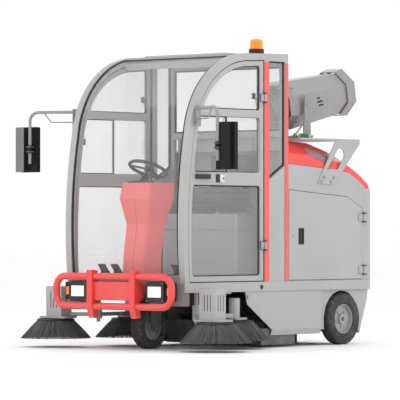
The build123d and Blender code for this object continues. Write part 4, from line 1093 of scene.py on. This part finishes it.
panel = bmesh.new()
box_into(panel, (-0.105, -1.108, 1.2760), (0.105, -1.030, 1.2900), bevel=0.005, segments=3)
piece("instrument_panel", panel, "black_plastic", "chassis")
dials = bmesh.new()
box_into(dials, (-0.048, -1.100, 1.2895), (0.048, -1.040, 1.2915), bevel=0.0008)
piece("instrument_screen", dials, "screen_dark", "chassis")
switches = bmesh.new()
for x in (-0.088, -0.066, 0.066, 0.088):
    for y in (-1.086, -1.054):
        box_into(switches, (x - 0.008, y - 0.011, 1.2895), (x + 0.008, y + 0.011, 1.2955), bevel=0.002)
lathe_into(switches, [(0.013, 0), (0.013, 0.004), (0.010, 0.007), (0, 0.007)], (0.135, -0.93, 1.277), UP, 28)
box_into(switches, (0.1335, -0.938, 1.283), (0.1365, -0.922, 1.300), bevel=0.001)
piece("instrument_switches", switches, "vent_grey", "chassis")
lever = bmesh.new()
tube_into(lever, [(0.06, -0.965, 1.300), (0.13, -0.975, 1.322), (0.185, -0.985, 1.338)], 0.0045, 10)
lathe_into(lever, [(0, -0.012), (0.008, -0.010), (0.0105, 0.0), (0.008, 0.014), (0, 0.016)],
           (0.185, -0.985, 1.338), (0.95, -0.05, 0.25), 20)
piece("direction_lever", lever, "black_plastic", "chassis")
boot = bmesh.new()
COLUMN = Matrix.Translation((0, -0.986, 1.385)) @ Matrix.Rotation(math.radians(-24), 4, "X")
boot_profile = [(0.046, -0.128), (0.046, -0.118)]
for k in range(5):
    boot_profile += [(0.040 - 0.003 * k, -0.112 + 0.012 * k), (0.034 - 0.003 * k, -0.106 + 0.012 * k)]
boot_profile += [(0.0150, -0.050), (0.0148, -0.128)]
lathe_into(boot, boot_profile, matrix=COLUMN, segments=40)
piece("column_boot", boot, "seal_rubber", "chassis")
hub = bmesh.new()
lathe_into(hub, [(0.0, 0.0205), (0.018, 0.0200), (0.0240, 0.0175), (0.0262, 0.0145), (0.0262, 0.012),
                 (0.0, 0.012)], matrix=COLUMN, segments=40)
piece("steering_hub_cap", hub, "black_plastic", "steering_wheel")

treads = {"brake_pedal": -0.354, "drive_pedal": -0.222, "flap_pedal": 0.39}
for node, x in treads.items():
    pad = bmesh.new()
    lean = Matrix.Translation((x, -1.098, 0.612)) @ Matrix.Rotation(math.radians(-50), 4, "X")
    box_into(pad, (-0.036, -0.0485, 0.0038), (0.036, 0.0485, 0.0075), bevel=0.0015)
    for y in steps(-0.040, 0.035, 7):
        box_into(pad, (-0.031, y, 0.007), (0.031, y + 0.0055, 0.0098), bevel=0.0008, segments=1)
    piece(node + "_pad", pad, "mat_rubber", node, turn=lean)


# -------- stage, light and camera
floor_mesh = bmesh.new()
bmesh.ops.create_grid(floor_mesh, x_segments=1, y_segments=1, size=60.0)
mesh = mesh_of("floor", floor_mesh)
floor = bpy.data.objects.new("floor", mesh)
scene.collection.objects.link(floor)
floor_surface = Surface("studio_floor", (0.98, 0.98, 0.98), 0.65)
floor_surface.set("Specular IOR Level", 0.2)
floor_surface.set("Roughness", floor_surface.remap(floor_surface.noise(3), 0.3, 0.7, 0.6, 0.72))
mesh.materials.append(floor_surface.material)
floor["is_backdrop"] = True

world = bpy.data.worlds.new("studio")
scene.world = world
world.use_nodes = True
backdrop = world.node_tree.nodes["Background"]
backdrop.inputs["Color"].default_value = (1.0, 1.0, 1.0, 1)
backdrop.inputs["Strength"].default_value = 1.0


def area_light(name, at, target, size, power):
    light = bpy.data.lights.new(name, "AREA")
    light.shape = "RECTANGLE"
    light.size, light.size_y = size
    light.energy = power
    obj = bpy.data.objects.new(name, light)
    scene.collection.objects.link(obj)
    obj.location = at
    obj.rotation_mode = "QUATERNION"
    obj.rotation_quaternion = (Vector(target) - Vector(at)).to_track_quat("-Z", "Y")


area_light("key", (5.0, -5.5, 6.5), (0, 0, 1.1), (5.0, 4.0), 130)
area_light("side_fill", (7.5, 2.5, 3.0), (0, 0.2, 1.1), (5.0, 3.5), 70)
area_light("front_fill", (-4.5, -6.5, 3.0), (0, -0.4, 1.0), (4.0, 3.0), 40)
area_light("rear_rim", (-3.0, 6.5, 5.0), (0, 0.3, 1.3), (4.0, 3.0), 40)

AZIMUTH = math.radians(40)
YAW_LEFT = math.radians(0.144)
PITCH_UP = math.radians(0.505)
camera_data = bpy.data.cameras.new("camera")
camera_data.lens = 285.75
camera_data.sensor_width = 36.0
camera_data.clip_start, camera_data.clip_end = 1.0, 200.0
camera = bpy.data.objects.new("camera", camera_data)
scene.collection.objects.link(camera)
camera.location = (16.070, -19.418, 0.93)
heading = AZIMUTH + YAW_LEFT
look = Vector((-math.sin(heading), math.cos(heading), math.tan(PITCH_UP)))
camera.rotation_mode = "QUATERNION"
camera.rotation_quaternion = look.to_track_quat("-Z", "Y")
scene.camera = camera
scene.view_settings.view_transform = "Standard"
scene.view_settings.look = "None"

low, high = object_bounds()
